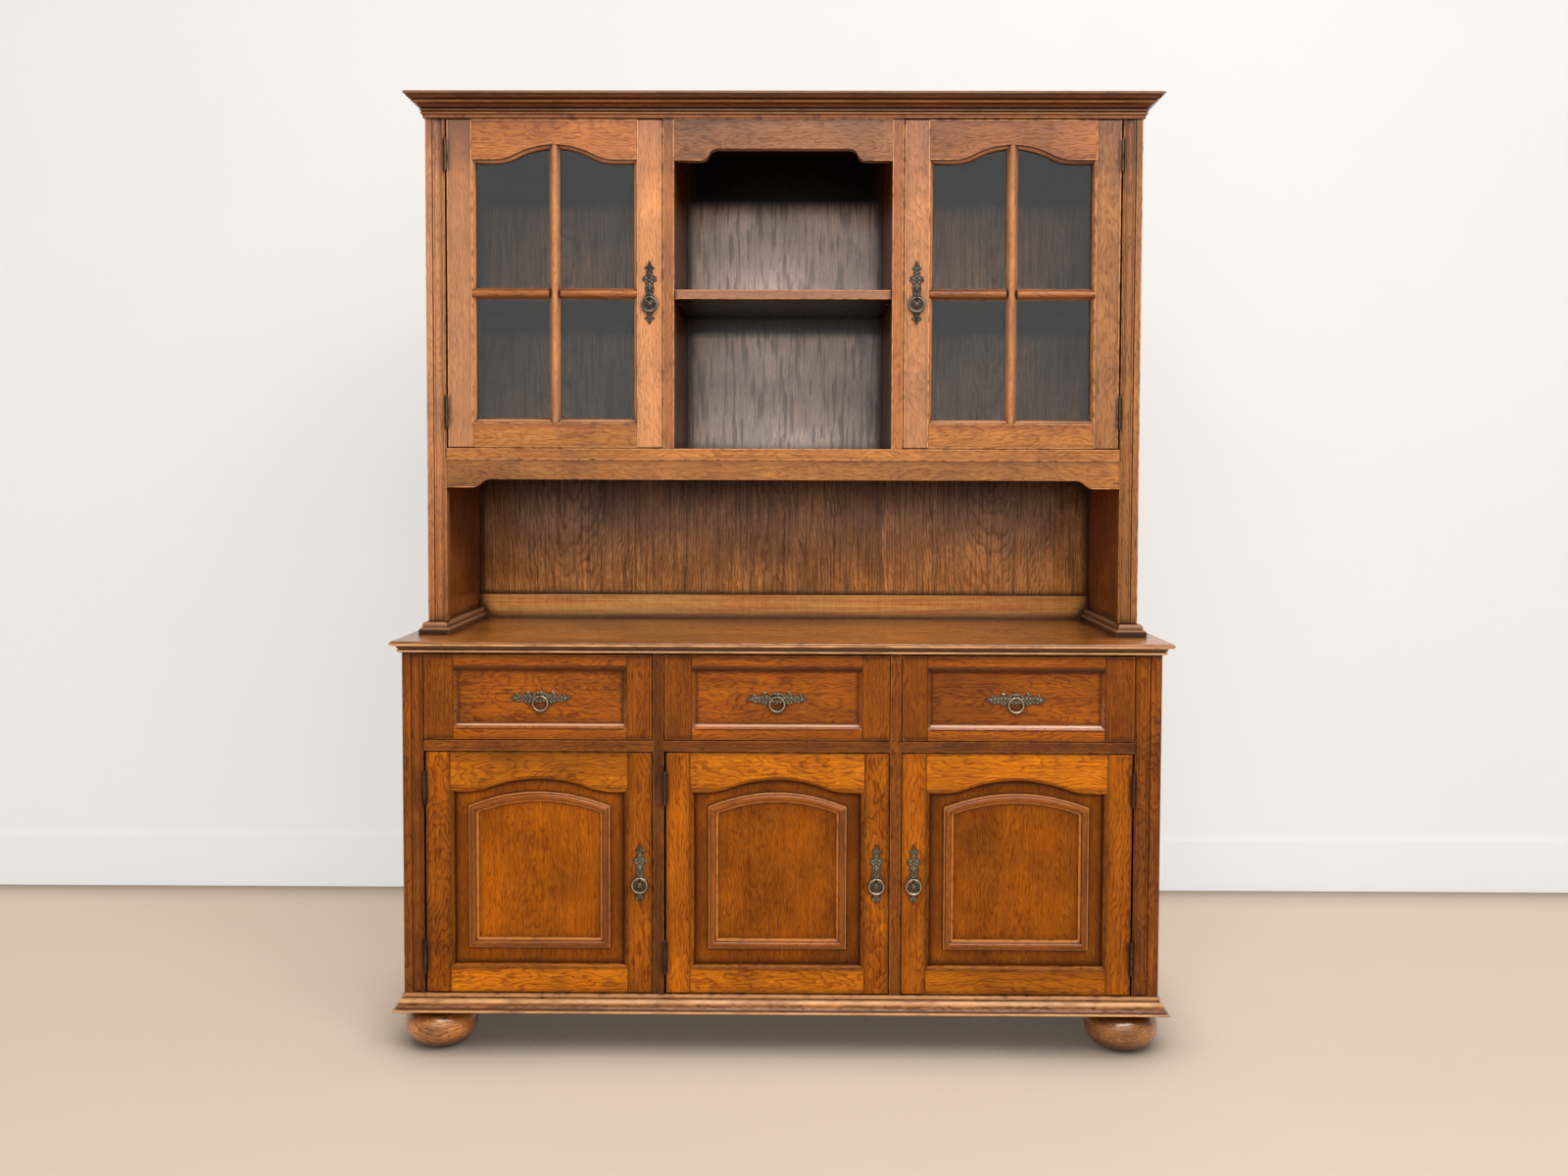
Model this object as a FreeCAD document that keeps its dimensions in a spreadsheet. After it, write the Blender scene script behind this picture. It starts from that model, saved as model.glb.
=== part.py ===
# Buffet cabinet: a three-door, three-drawer base that carries a hutch with two glazed doors.
# Millimetres, +Z up, front towards -Y, origin at the bottom centre of the bounding box.

import FreeCAD, Part
import math
import os
import re
import Sketcher

doc = FreeCAD.newDocument("BuffetCabinet")

# Driving sizes

SIZES = {
    # Base carcass, from the floor up
    "base_depth": 500,
    "foot_height": 80,
    "foot_diameter": 143,
    "foot_sole_share": 0.62,
    "foot_neck_share": 0.7,
    "foot_disc_share": 0.76,
    "foot_widest_share": 0.56,
    "foot_neck_rise_share": 0.91,
    "foot_inset_side": 59,
    "foot_inset_front": 55,
    "foot_inset_back": 80,
    "foot_block_width": 130,
    "bottom_rail_height": 34,
    "door_bay_height": 473,
    "drawer_rail_height": 21,
    "drawer_bay_height": 169,
    "frame_thickness": 22,
    "board_thickness": 18,
    "bottom_board_thickness": 20,
    "back_thickness": 8,
    "left_stile_width": 40,
    "right_stile_width": 50,
    "left_bay_width": 443,
    "centre_bay_width": 436,
    "right_bay_width": 449,
    "mullion_width": 21,
    "corner_flat_share": 0.4,
    "hutch_flat_share": 0.32,
    "base_shelf_height": 236,
    "shelf_setback": 8,
    # Frame and panel sides
    "side_thickness": 22,
    "side_stile_width": 62,
    "side_rail_height": 70,
    "side_panel_thickness": 8,
    "side_panel_field_depth": 6,
    "side_panel_bevel": 28,
    # Plinth moulding, countertop and cornice
    "plinth_projection": 21,
    "top_overhang": 20,
    "top_thickness": 23,
    "cornice_height": 46,
    "cornice_projection": 35,
    # Hutch
    "hutch_setback": 119,
    "hutch_inset": 22,
    "hutch_side_thickness": 26,
    "hutch_stile_width": 38,
    "shoe_height": 25,
    "shoe_tier_height": 14,
    "shoe_projection": 16,
    "shoe_tier_step": 6,
    "display_height": 350,
    "hutch_floor_thickness": 22,
    "hutch_bay_height": 650,
    "niche_width": 432,
    "partition_stile_width": 22,
    "niche_rail_height": 82,
    "niche_rail_rise": 23,
    "niche_rail_end": 53,
    "niche_rail_run": 33,
    "niche_shelf_setback": 5,
    "hutch_shelf_height": 297,
    "hutch_top_thickness": 20,
    "apron_height": 40,
    "apron_drop": 16,
    "apron_foot": 50,
    "apron_run": 36,
    "apron_thickness": 18,
    "apron_setback": 2,
    "back_rail_height": 53,
    "back_rail_thickness": 18,
    "shelf_pin_diameter": 6,
    "shelf_pin_length": 9,
    "shelf_pin_depth": 40,
    "shelf_side_gap": 0.5,
    # Doors
    "door_gap": 2,
    "hinge_gap": 4.4,
    "glazed_stile_width": 49,
    "glazed_bottom_rail": 49,
    "glazed_top_rail": 78,
    "glazed_arch_rise": 29,
    "glazed_arch_end": 48,
    "glazing_bar_width": 21,
    "glazed_lip_width": 8,
    "glazed_lip_height": 8,
    "glass_setback": 12,
    "glass_thickness": 3,
    "glass_lap": 7,
    "door_stile_width": 47,
    "door_bottom_rail": 48,
    "door_top_rail": 72,
    "door_arch_rise": 26,
    "door_arch_end": 30,
    "arch_turn_share": 0.68,
    "panel_setback": 8,
    "panel_thickness": 8,
    "sticking_width": 8,
    "arch_moulding_width": 20,
    "arch_moulding_height": 9,
    "arch_moulding_side": 34,
    "arch_moulding_bottom": 38,
    "arch_moulding_top": 33,
    "arch_moulding_rise": 22,
    "arch_moulding_end": 15,
    # Drawers
    "drawer_top_gap": 3,
    "drawer_end_outer": 56,
    "drawer_end_inner": 48,
    "drawer_end_centre": 52,
    "drawer_rail_top": 26,
    "drawer_rail_bottom": 22,
    "drawer_recess": 7,
    "drawer_bevel": 9,
    "drawer_back_gap": 70,
    "drawer_box_height": 120,
    "drawer_box_lift": 8,
    "drawer_wall": 12,
    "drawer_floor_thickness": 6,
    "drawer_floor_lift": 10,
    "drawer_side_gap": 3,
    "runner_lap": 18,
    "runner_height": 16,
    "running_gap": 0.3,
    # Hinges
    "knuckle_radius": 3.5,
    "knuckle_offset": 3.6,
    "knuckle_height": 20,
    "knuckle_gap": 0.3,
    "hinge_end_distance": 70,
    "leaf_thickness": 1.8,
    "leaf_depth": 16,
    "pin_radius": 1.6,
    "pin_clearance": 0.08,
    "finial_radius": 2.6,
    "finial_height": 4.42,
    # Pulls
    "plate_thickness": 2,
    "tall_plate_length": 125,
    "short_plate_length": 115,
    "plate_width": 31,
    "pull_lift": 16,
    "ring_radius": 14.2,
    "ring_wire_radius": 1.7,
    "eye_radius": 3.1,
    "eye_wire_radius": 1,
    "boss_radius": 7,
    "boss_height": 4.5,
    "screw_head_radius": 2.6,
    "screw_head_height": 1.56,
    "screw_place_share": 0.34,
    "eye_drop": 9.3,
    "drop_length": 22,
    "drop_width": 11,
    "drop_depth": 8,
    # Length that a cutting tool runs past the piece it cuts
    "overrun": 5,
}

# Places worked out from the sizes

PLACES = {
    "front": "top_overhang / 2 - base_depth / 2",
    "back": "front + base_depth",
    "frame_back": "front + frame_thickness",
    "back_panel": "back - back_thickness",
    "bay_widths": "left_bay_width + centre_bay_width + right_bay_width",
    "base_width": "left_stile_width + bay_widths + 2 * mullion_width + right_stile_width",
    "half_base": "base_width / 2",
    "side_inner": "half_base - side_thickness",
    "bay_floor": "foot_height + bottom_rail_height",
    "bay_top": "bay_floor + door_bay_height",
    "drawer_floor": "bay_top + drawer_rail_height",
    "base_top": "drawer_floor + drawer_bay_height",
    "top_level": "base_top + top_thickness",
    "left_start": "left_stile_width - half_base",
    "left_end": "left_start + left_bay_width",
    "centre_start": "left_end + mullion_width",
    "centre_end": "centre_start + centre_bay_width",
    "right_start": "centre_end + mullion_width",
    "right_end": "half_base - right_stile_width",
    "left_partition": "left_end + (mullion_width - board_thickness) / 2",
    "right_partition": "centre_end + (mullion_width - board_thickness) / 2",
    "hutch_front": "front + hutch_setback",
    "hutch_frame_back": "hutch_front + frame_thickness",
    "half_hutch": "half_base - hutch_inset",
    "hutch_inner": "half_hutch - hutch_stile_width",
    "hutch_side_inner": "half_hutch - hutch_side_thickness",
    "shoe_top": "top_level + shoe_height",
    "hutch_floor": "top_level + display_height",
    "hutch_floor_top": "hutch_floor + hutch_floor_thickness",
    "hutch_bay_top": "hutch_floor_top + hutch_bay_height",
    "total_top": "hutch_bay_top + cornice_height",
    "niche_half": "niche_width / 2",
    "partition_outer": "niche_half + partition_stile_width",
    "partition_back_outer": "niche_half + board_thickness",
    "shelf_low": "hutch_floor_top + hutch_shelf_height",
    "shelf_top": "shelf_low + board_thickness",
    "base_shelf_low": "bay_floor + base_shelf_height",
    "ring_depth": "plate_thickness + eye_radius",
    "hinge_height": "3 * knuckle_height",
}

sheet = doc.addObject("Spreadsheet::Sheet", "Sizes")
places = doc.addObject("Spreadsheet::Sheet", "Places")


def full(text, own=""):
    """The expression with the name of its sheet before each size or place."""

    def prefix(match):
        word = match.group(0)
        owner = "Sizes" if word in SIZES else "Places" if word in PLACES else ""
        return word if owner == own or not owner else owner + "." + word

    return re.sub(r"[a-z][a-z_]+", prefix, text)


for row, (alias, number) in enumerate(SIZES.items(), 1):
    sheet.set("A%d" % row, alias)
    sheet.set("B%d" % row, str(number))
    sheet.setAlias("B%d" % row, alias)
for row, (alias, formula) in enumerate(PLACES.items(), 1):
    places.set("A%d" % row, alias)
    places.set("B%d" % row, "=" + full(formula, own="Places"))
    places.setAlias("B%d" % row, alias)
doc.recompute()


def value(text):
    """The number that the expression gives now."""
    result = sheet.evalExpression(full(text))
    return float(getattr(result, "Value", result))


# Helpers that make bound objects

XZ_UPRIGHT = FreeCAD.Rotation(FreeCAD.Vector(1, 0, 0), 90)


def turn_to(x_axis, y_axis):
    """The rotation that lays the local X and Y axes along these two directions."""
    first, second = FreeCAD.Vector(*x_axis), FreeCAD.Vector(*y_axis)
    return FreeCAD.Rotation(first, second, first.cross(second), "XYZ")


OUT_LEFT = turn_to((-1, 0, 0), (0, 0, 1))
UP_FORWARD = turn_to((0, 0, 1), (0, -1, 0))
OUT_OF_SIDE = turn_to((0, 0, 1), (-1, 0, 0))
AXIS_ALONG_X = FreeCAD.Rotation(FreeCAD.Vector(0, 1, 0), 90)
AXIS_ALONG_Y = FreeCAD.Rotation(FreeCAD.Vector(1, 0, 0), -90)

nodes = {}


def node(name, *pieces):
    """One kept sub-part: the piece itself, or a compound of separate pieces."""
    whole = pieces[0]
    if len(pieces) > 1:
        whole = doc.addObject("Part::Compound", name + "_set")
        whole.Links = list(pieces)
    whole.Label = name
    nodes[name] = whole
    return whole


def place(piece, x="0", y="0", z="0", turn=None):
    """Binds the place of the piece, and turns it where a rotation is given."""
    if turn:
        piece.Placement = FreeCAD.Placement(FreeCAD.Vector(), turn)
    for axis, text in (("x", x), ("y", y), ("z", z)):
        piece.setExpression("Placement.Base." + axis, full(text))
    return piece


def board(name, x, y, z):
    """A board between two expressions along each axis."""
    piece = doc.addObject("Part::Box", name)
    for side, (start, end) in zip(("Length", "Width", "Height"), (x, y, z)):
        piece.setExpression(side, full("(%s) - (%s)" % (end, start)))
    return place(piece, x[0], y[0], z[0])


def cylinder(name, radius, height, x, y, z, turn=None):
    """A cylinder from its foot up, or along the axis that the rotation gives."""
    piece = doc.addObject("Part::Cylinder", name)
    piece.setExpression("Radius", full(radius))
    piece.setExpression("Height", full(height))
    return place(piece, x, y, z, turn)


def torus(name, radius, wire, x, y, z, turn):
    """A closed ring of round wire."""
    piece = doc.addObject("Part::Torus", name)
    piece.setExpression("Radius1", full(radius))
    piece.setExpression("Radius2", full(wire))
    return place(piece, x, y, z, turn)


def ellipsoid(name, across, deep, up, x, y, z):
    """An ellipsoid with its three half lengths."""
    piece = doc.addObject("Part::Ellipsoid", name)
    for side, text in (("Radius1", up), ("Radius2", across), ("Radius3", deep)):
        piece.setExpression(side, full(text))
    return place(piece, x, y, z)


def tapered(wedge, width, depth, height, bevel):
    """Binds a wedge whose four sides slope in by the bevel over its depth."""
    for side, text in (
        ("Xmin", "0"), ("Xmax", width), ("Ymin", "0"), ("Ymax", depth), ("Zmin", "0"), ("Zmax", height),
        ("X2min", bevel), ("X2max", "%s - %s" % (width, bevel)),
        ("Z2min", bevel), ("Z2max", "%s - %s" % (height, bevel)),
    ):
        wedge.setExpression(side, full(text))


def fused(name, *pieces):
    """One solid made of overlapping pieces."""
    whole = doc.addObject("Part::MultiFuse", name)
    whole.Shapes = list(pieces)
    return whole


def cut(name, base, tool):
    """The base with the tool's space taken out."""
    piece = doc.addObject("Part::Cut", name)
    piece.Base = base
    piece.Tool = tool
    return piece


def mirrored(name, source):
    """The piece on the other side of the middle of the cabinet."""
    piece = doc.addObject("Part::Mirroring", name)
    piece.Source = source
    piece.Normal = (1, 0, 0)
    return piece


def copied(name, source, x="0", y="0", z="0", turn=None):
    """The same piece again at another place."""
    piece = doc.addObject("Part::Compound", name)
    piece.Links = [source]
    return place(piece, x, y, z, turn)


def draw(sketch, corners, closed=True):
    """Draws the outline through the corners and ties each to its expressions.

    A corner is (x, y), or (x, y, bulge) where an arc leads to it: the bulge is the height of the
    arc over half its chord, above zero where the outline turns left along it.
    """
    spots = [FreeCAD.Vector(value(c[0]), value(c[1]), 0) for c in corners]
    steps = range(0 if closed else 1, len(corners))
    ends = []
    rules = []
    texts = {}
    for i in steps:
        start, end = spots[i - 1], spots[i]
        if len(corners[i]) == 2:
            edge = sketch.addGeometry(Part.LineSegment(start, end))
            ends.append((edge, 1, 2))
            continue
        bulge = value(corners[i][2])
        chord = end - start
        side = FreeCAD.Vector(-chord.y, chord.x, 0)
        centre = (start + end) * 0.5 + side * ((1 - bulge**2) / (4 * bulge))
        circle = Part.Circle(centre, FreeCAD.Vector(0, 0, 1), (start - centre).Length)
        ends_in_turn = (start, end) if bulge > 0 else (end, start)
        angles = [math.atan2(spot.y - centre.y, spot.x - centre.x) for spot in ends_in_turn]
        edge = sketch.addGeometry(Part.ArcOfCircle(circle, *angles))
        ends.append((edge, 1, 2) if bulge > 0 else (edge, 2, 1))
        x0, y0 = corners[i - 1][:2]
        x1, y1, b = corners[i]
        chord_text = "sqrt(((%s) - (%s))^2 + ((%s) - (%s))^2)" % (x1, x0, y1, y0)
        texts[len(rules)] = "%s * (1 + (%s)^2) / (4 * abs(%s))" % (chord_text, b, b)
        rules.append(Sketcher.Constraint("Radius", edge, circle.Radius))
    for n in range(len(ends) - (0 if closed else 1)):
        here, after = ends[n], ends[(n + 1) % len(ends)]
        rules.append(Sketcher.Constraint("Coincident", here[0], here[2], after[0], after[1]))
    tied = [(i, edge, end) for i, (edge, start, end) in zip(steps, ends)]
    if not closed:
        tied.insert(0, (0, ends[0][0], ends[0][1]))
    for i, edge, end in tied:
        for kind, text, number in (
            ("DistanceX", corners[i][0], spots[i].x),
            ("DistanceY", corners[i][1], spots[i].y),
        ):
            texts[len(rules)] = text
            rules.append(Sketcher.Constraint(kind, -1, 1, edge, end, number))
    sketch.addConstraint(rules)
    for rule, text in texts.items():
        sketch.setExpression("Constraints[%d]" % rule, full(text))


def both_sides(half):
    """The half outline and its mirror image across the local Y axis."""
    other = []
    for i in range(len(half) - 1, -1, -1):
        if i == len(half) - 1:
            if half[i][0] != "0":
                other.append(("-(%s)" % half[i][0], half[i][1]))
            continue
        bulge = half[i + 1][2:]
        other.append(("-(%s)" % half[i][0], half[i][1]) + bulge)
    if half[0][0] == "0":
        last = other.pop()
        return [half[0] + last[2:]] + half[1:] + other
    return half + other


def scaled(shares, across, up):
    """Corners at the given shares of two sizes."""

    def part_of(share, size):
        """The share as an expression, and a plain 0 for no share."""
        return "%g * (%s)" % (share, size) if share else "0"

    return [(part_of(s[0], across), part_of(s[1], up)) + tuple("%g" % b for b in s[2:]) for s in shares]


def sketched(name, plane, corners):
    """A body with one sketch on its own origin plane."""
    body = doc.addObject("PartDesign::Body", name)
    sketch = body.newObject("Sketcher::SketchObject", name + "_outline")
    support = [part for part in body.Origin.OriginFeatures if part.Role == plane][0]
    sketch.AttachmentSupport = [(support, "")]
    sketch.MapMode = "FlatFace"
    draw(sketch, corners)
    return body, sketch


def pad(name, plane, corners, length, x="0", y="0", z="0"):
    """A body padded from its outline: to -Y from the XZ plane, up from XY, to +X from YZ."""
    body, sketch = sketched(name, plane, corners)
    feature = body.newObject("PartDesign::Pad", name + "_pad")
    feature.Profile = sketch
    feature.setExpression("Length", full(length))
    return place(body, x, y, z)


def turned(name, corners, x="0", y="0", z="0"):
    """A body turned about its own vertical axis."""
    body, sketch = sketched(name, "XZ_Plane", corners)
    feature = body.newObject("PartDesign::Revolution", name + "_turn")
    feature.Profile = sketch
    feature.ReferenceAxis = (sketch, ["V_Axis"])
    return place(body, x, y, z)


def run(name, path, profile, turn, start, path_at=("0", "0", "0"), path_turn=None, closed=False):
    """A moulding that follows the path with mitred corners."""
    spine = doc.addObject("Sketcher::SketchObject", name + "_path")
    draw(spine, path, closed)
    place(spine, *path_at, turn=path_turn)
    section = doc.addObject("Sketcher::SketchObject", name + "_section")
    draw(section, profile)
    place(section, *start, turn=turn)
    doc.recompute()
    piece = doc.addObject("Part::Sweep", name)
    piece.Sections = [section]
    piece.Spine = (spine, ["Edge%d" % (i + 1) for i in range(len(spine.Shape.Edges))])
    piece.Solid = True
    piece.Transition = "Right corner"
    return piece


def three_sided(name, half_width, face, rear, profile, level):
    """A moulding round the two sides and the front of a carcass."""
    left = "-(%s)" % half_width
    path = [(left, rear), (left, face), (half_width, face), (half_width, rear)]
    start = (left, rear, level)
    return run(name, path, profile, OUT_LEFT, start, path_at=("0", "0", level))


def s_bulge(rise, length):
    """The bulge of each of the two equal arcs that make an S of this rise and length."""
    return "tan(atan((%s) / (%s)) / 2)" % (rise, length)


def arch(half, height, end, rise):
    """Right half of an opening whose flat ends rise in an S to the middle, from the bottom centre."""
    length = "((%s) - (%s))" % (half, end)
    bulge = s_bulge(rise, length)
    return [
        ("0", "0"),
        (half, "0"),
        (half, height),
        (length, height),
        ("arch_turn_share * %s" % length, "%s + (1 - arch_turn_share) * (%s)" % (height, rise), "-" + bulge),
        ("0", "%s + %s" % (height, rise), bulge),
    ]


def arched_rail(half, height, end, rise):
    """Right half of a rail whose lower edge is that arch, from the middle of the arch."""
    length = "((%s) - (%s))" % (half, end)
    bulge = s_bulge(rise, length)
    return [
        ("0", rise),
        ("arch_turn_share * %s" % length, "(1 - arch_turn_share) * (%s)" % rise, "-" + bulge),
        (length, "0", bulge),
        (half, "0"),
        (half, height),
    ]


def round_topped(half, height, end, rise):
    """Right half of an opening under one arc that ends in short straight slopes, from the bottom centre."""
    length = "((%s) - (%s))" % (half, end)
    shoulder = "%s + (%s) * tan(2 * atan((%s) / %s))" % (height, end, rise, length)
    return [
        ("0", "0"),
        (half, "0"),
        (half, height),
        (length, shoulder),
        ("0", "%s + %s" % (shoulder, rise), s_bulge(rise, length)),
    ]


# Outlines in shares of the size of the piece, chosen by hand from the photograph

PLINTH_SHARES = [
    (0, 0), (0.84, 0), (0.84, 0.15, 0.9), (0.75, 0.15), (0.5, 0.36, -0.25), (0.2, 0.72, 0.3),
    (0.1, 0.74), (0.1, 0.8), (0.19, 0.82), (0.03, 1, 0.42), (0, 1),
]
# The space taken out under the edge of the countertop
TOP_CUT_SHARES = [
    (1.2, -0.2), (1.2, 1.2), (0.77, 1.2), (0.77, 1), (0.77, 0.6, -0.98), (0.68, 0.6),
    (0.4, 0.37, 0.42), (0.24, 0.34), (0.24, 0.03, -0.95), (0.16, 0.03), (0.16, -0.2),
]
CORNICE_SHARES = [
    (0, 0), (0.1, 0), (0.12, 0.13), (0.16, 0.15), (0.16, 0.25, 0.9), (0.13, 0.27), (0.22, 0.29),
    (0.22, 0.35, 0.8), (0.2, 0.4), (0.3, 0.43), (0.45, 0.56, -0.25), (0.62, 0.67, 0.25), (0.6, 0.69),
    (0.7, 0.72), (0.86, 0.86, 0.38), (0.93, 0.87), (0.93, 0.99, 0.9), (0, 0.99),
]
# The beads and the channel of a reeded stile, in shares of their width together and of the stile's depth
REEDING_SHARES = [
    (0.06, 0.08), (0.22, 0.08, 0.7), (0.25, 0.08), (0.74, 0.08, -0.28), (0.77, 0.08), (0.93, 0.08, 0.7),
]
STICKING_SHARES = [(0, 0), (1, 0), (0.15, 1, 0.35), (0, 1)]
# Half of a glazing bar's section, from the middle of its rounded face back to the glass
GLAZING_BAR_SHARES = [(0, 0), (0.4, 0.5, 0.32), (0.5, 0.58), (0.5, 1)]
ARCH_MOULDING_SHARES = [
    (0, 0), (1, 0), (0.97, 0.2), (0.82, 0.3), (0.7, 0.75, -0.2), (0.45, 0.98, 0.25),
    (0.2, 0.78, 0.3), (0.14, 0.5), (0.04, 0.45), (0, 0.2),
]


def stile_corners(width, depth, flat):
    """Section of a reeded stile, its face to -Y: a flat, a bead, a hollow channel and a bead."""
    reeds = scaled(REEDING_SHARES, "(%s) - (%s)" % (width, flat), depth)
    reeds = [("%s + %s" % (flat, reed[0]),) + reed[1:] for reed in reeds]
    return [("0", "0"), (flat, "0")] + reeds + [(width, reeds[-1][1]), (width, depth), ("0", depth)]


# Base: feet, plinth and carcass

foot_reach = "foot_diameter / 2"
foot_sole = "foot_sole_share * foot_diameter / 2"
foot_neck = "foot_neck_share * foot_diameter / 2"
foot_disc = "foot_disc_share * foot_diameter / 2"
foot_widest = "foot_widest_share * foot_height"
foot_neck_rise = "foot_neck_rise_share * foot_height"


def quarter(reach, rise):
    """The bulge of an arc that ends upright after this reach and rise."""
    return "tan(atan((%s) / (%s)) / 2)" % (reach, rise)


FOOT = [
    ("0", "0"),
    (foot_sole, "0"),
    (foot_reach, foot_widest, quarter("(%s) - (%s)" % (foot_reach, foot_sole), foot_widest)),
    (foot_neck, foot_neck_rise,
     quarter("(%s) - (%s)" % (foot_reach, foot_neck), "(%s) - (%s)" % (foot_neck_rise, foot_widest))),
    (foot_disc, foot_neck_rise),
    (foot_disc, "foot_height"),
    ("0", "foot_height"),
]
feet = []
blocks = []
for side, foot_x in (("left", "foot_inset_side - half_base"), ("right", "half_base - foot_inset_side")):
    for row_name, foot_y in (("front", "front + foot_inset_front"), ("rear", "back - foot_inset_back")):
        feet.append(turned("foot_%s_%s" % (side, row_name), FOOT, foot_x, foot_y))
        inner = "%s + foot_block_width / 2" % foot_x
        outer = "%s - foot_block_width / 2" % foot_x
        if side == "left":
            span = ("-side_inner", inner)
        else:
            span = (outer, "side_inner")
        deep = ("frame_back", "frame_back + foot_block_width")
        if row_name == "rear":
            deep = ("%s - foot_block_width / 2" % foot_y, "%s + foot_block_width / 2" % foot_y)
        blocks.append(board("block_%s_%s" % (side, row_name), span, deep,
                            ("foot_height", "bay_floor - bottom_board_thickness")))
node("bun_feet", *feet)
plinth_section = scaled(PLINTH_SHARES, "plinth_projection", "bottom_rail_height")
plinth = three_sided("plinth_run", "half_base", "front", "back", plinth_section, "foot_height")
node("plinth_moulding", plinth)
node(
    "base_bottom_board",
    board("base_floor", ("-side_inner", "side_inner"), ("frame_back", "back_panel"),
          ("bay_floor - bottom_board_thickness", "bay_floor")),
    *blocks,
)


def framed_side(name, x_outer, x_inner, y_start, levels):
    """A frame and panel side on the left: stiles, rails and fielded panels between them."""
    pieces = []
    y_front_stile = "%s + side_stile_width" % y_start
    y_back_stile = "back - side_stile_width"
    low, top = levels[0], levels[-1]
    across, inside = (x_outer, x_inner), (y_front_stile, y_back_stile)
    pieces.append(board(name + "_front_stile", across, (y_start, y_front_stile), (low[0], top[1])))
    pieces.append(board(name + "_back_stile", across, (y_back_stile, "back"), (low[0], top[1])))
    for n, rise in enumerate(levels):
        pieces.append(board("%s_rail_%d" % (name, n), across, inside, rise))
    for n in range(len(levels) - 1):
        z_start, z_end = levels[n][1], levels[n + 1][0]
        base = board("%s_panel_base_%d" % (name, n), ("%s - side_panel_thickness" % x_inner, x_inner),
                     inside, (z_start, z_end))
        field = doc.addObject("Part::Wedge", "%s_field_%d" % (name, n))
        length = "(%s) - (%s)" % (y_back_stile, y_front_stile)
        height = "(%s) - (%s)" % (z_end, z_start)
        tapered(field, height, "side_panel_field_depth", length, "side_panel_bevel")
        place(field, "%s - side_panel_thickness" % x_inner, y_back_stile, z_start, OUT_OF_SIDE)
        pieces.append(fused("%s_panel_%d" % (name, n), base, field))
    return pieces


def both_hands(name, pieces):
    """The left node and its mirror image on the right."""
    left = node(name + "_left", *pieces)
    return left, node(name + "_right", mirrored(name + "_mirror", left))


both_hands("base_side", framed_side(
    "base_side", "-half_base", "-side_inner", "frame_back",
    [("foot_height", "bay_floor + side_rail_height"), ("bay_top - side_rail_height", "drawer_floor"),
     ("base_top - side_rail_height / 2", "base_top")]))


def corner_stile(name, width):
    """A reeded stile at the left corner of the base."""
    section = stile_corners(width, "frame_thickness", "corner_flat_share * %s" % width)
    return pad(name, "XY_Plane", section, "base_top - foot_height", "-half_base", "front", "foot_height")


front_frame = ("front", "frame_back")
frame_pieces = [
    corner_stile("left_corner_stile", "left_stile_width"),
    mirrored("right_corner_stile_mirror", corner_stile("right_corner_stile", "right_stile_width")),
]
BAYS = (
    ("left", "left_start", "left_end", "left"),
    ("centre", "centre_start", "centre_end", "left"),
    ("right", "right_start", "right_end", "right"),
)
frame_pieces.append(board("bottom_rail", ("left_start", "right_end"), front_frame,
                          ("foot_height", "bay_floor")))
for name, start in (("left", "left_end"), ("right", "centre_end")):
    frame_pieces.append(board(name + "_mullion", (start, start + " + mullion_width"), front_frame,
                              ("bay_floor", "base_top")))
for name, start, end, hand in BAYS:
    frame_pieces.append(board(name + "_drawer_rail", (start, end), front_frame, ("bay_top", "drawer_floor")))
node("base_face_frame", *frame_pieces)

partition_spans = [(start, start + " + board_thickness") for start in ("left_partition", "right_partition")]
node("base_partitions", *[
    board("base_partition_%d" % n, span, ("frame_back", "back_panel"), ("bay_floor", "base_top"))
    for n, span in enumerate(partition_spans)])
back_edges = ("-side_inner", "left_partition + board_thickness / 2", "right_partition + board_thickness / 2",
              "side_inner")
node("base_back_panel", *[
    board("base_back_%d" % n, (back_edges[n], back_edges[n + 1]), ("back_panel", "back"),
          ("bay_floor - bottom_board_thickness", "base_top"))
    for n in range(3)])
bay_walls = (("-side_inner", partition_spans[0][0]), (partition_spans[0][1], partition_spans[1][0]),
             (partition_spans[1][1], "side_inner"))
node("base_shelves", *[
    board("base_shelf_%d" % n, walls, ("frame_back + shelf_setback", "back_panel"),
          ("base_shelf_low", "base_shelf_low + board_thickness"))
    for n, walls in enumerate(bay_walls)])
runner_top = "drawer_floor + door_gap + drawer_box_lift - running_gap"
runners = []
for (name, start, end, hand), (wall_left, wall_right) in zip(BAYS, bay_walls):
    spans = {"left": (wall_left, start + " + runner_lap"), "right": (end + " - runner_lap", wall_right)}
    for side, span in spans.items():
        runners.append(board("%s_bay_%s_runner" % (name, side), span, ("frame_back", "back_panel"),
                             ("%s - runner_height" % runner_top, runner_top)))
node("drawer_runners", *runners)

# Countertop: one board whose front and side edges are moulded

top_board = board("top_board", ("-half_base - top_overhang", "half_base + top_overhang"),
                  ("front - top_overhang", "back"), ("base_top", "top_level"))
top_cutter = three_sided("top_edge_cut", "half_base", "front", "back + overrun",
                         scaled(TOP_CUT_SHARES, "top_overhang", "top_thickness"), "base_top")
node("countertop", cut("countertop_board", top_board, top_cutter))

# Hutch: shoes, sides, floor, frame and cornice

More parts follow.
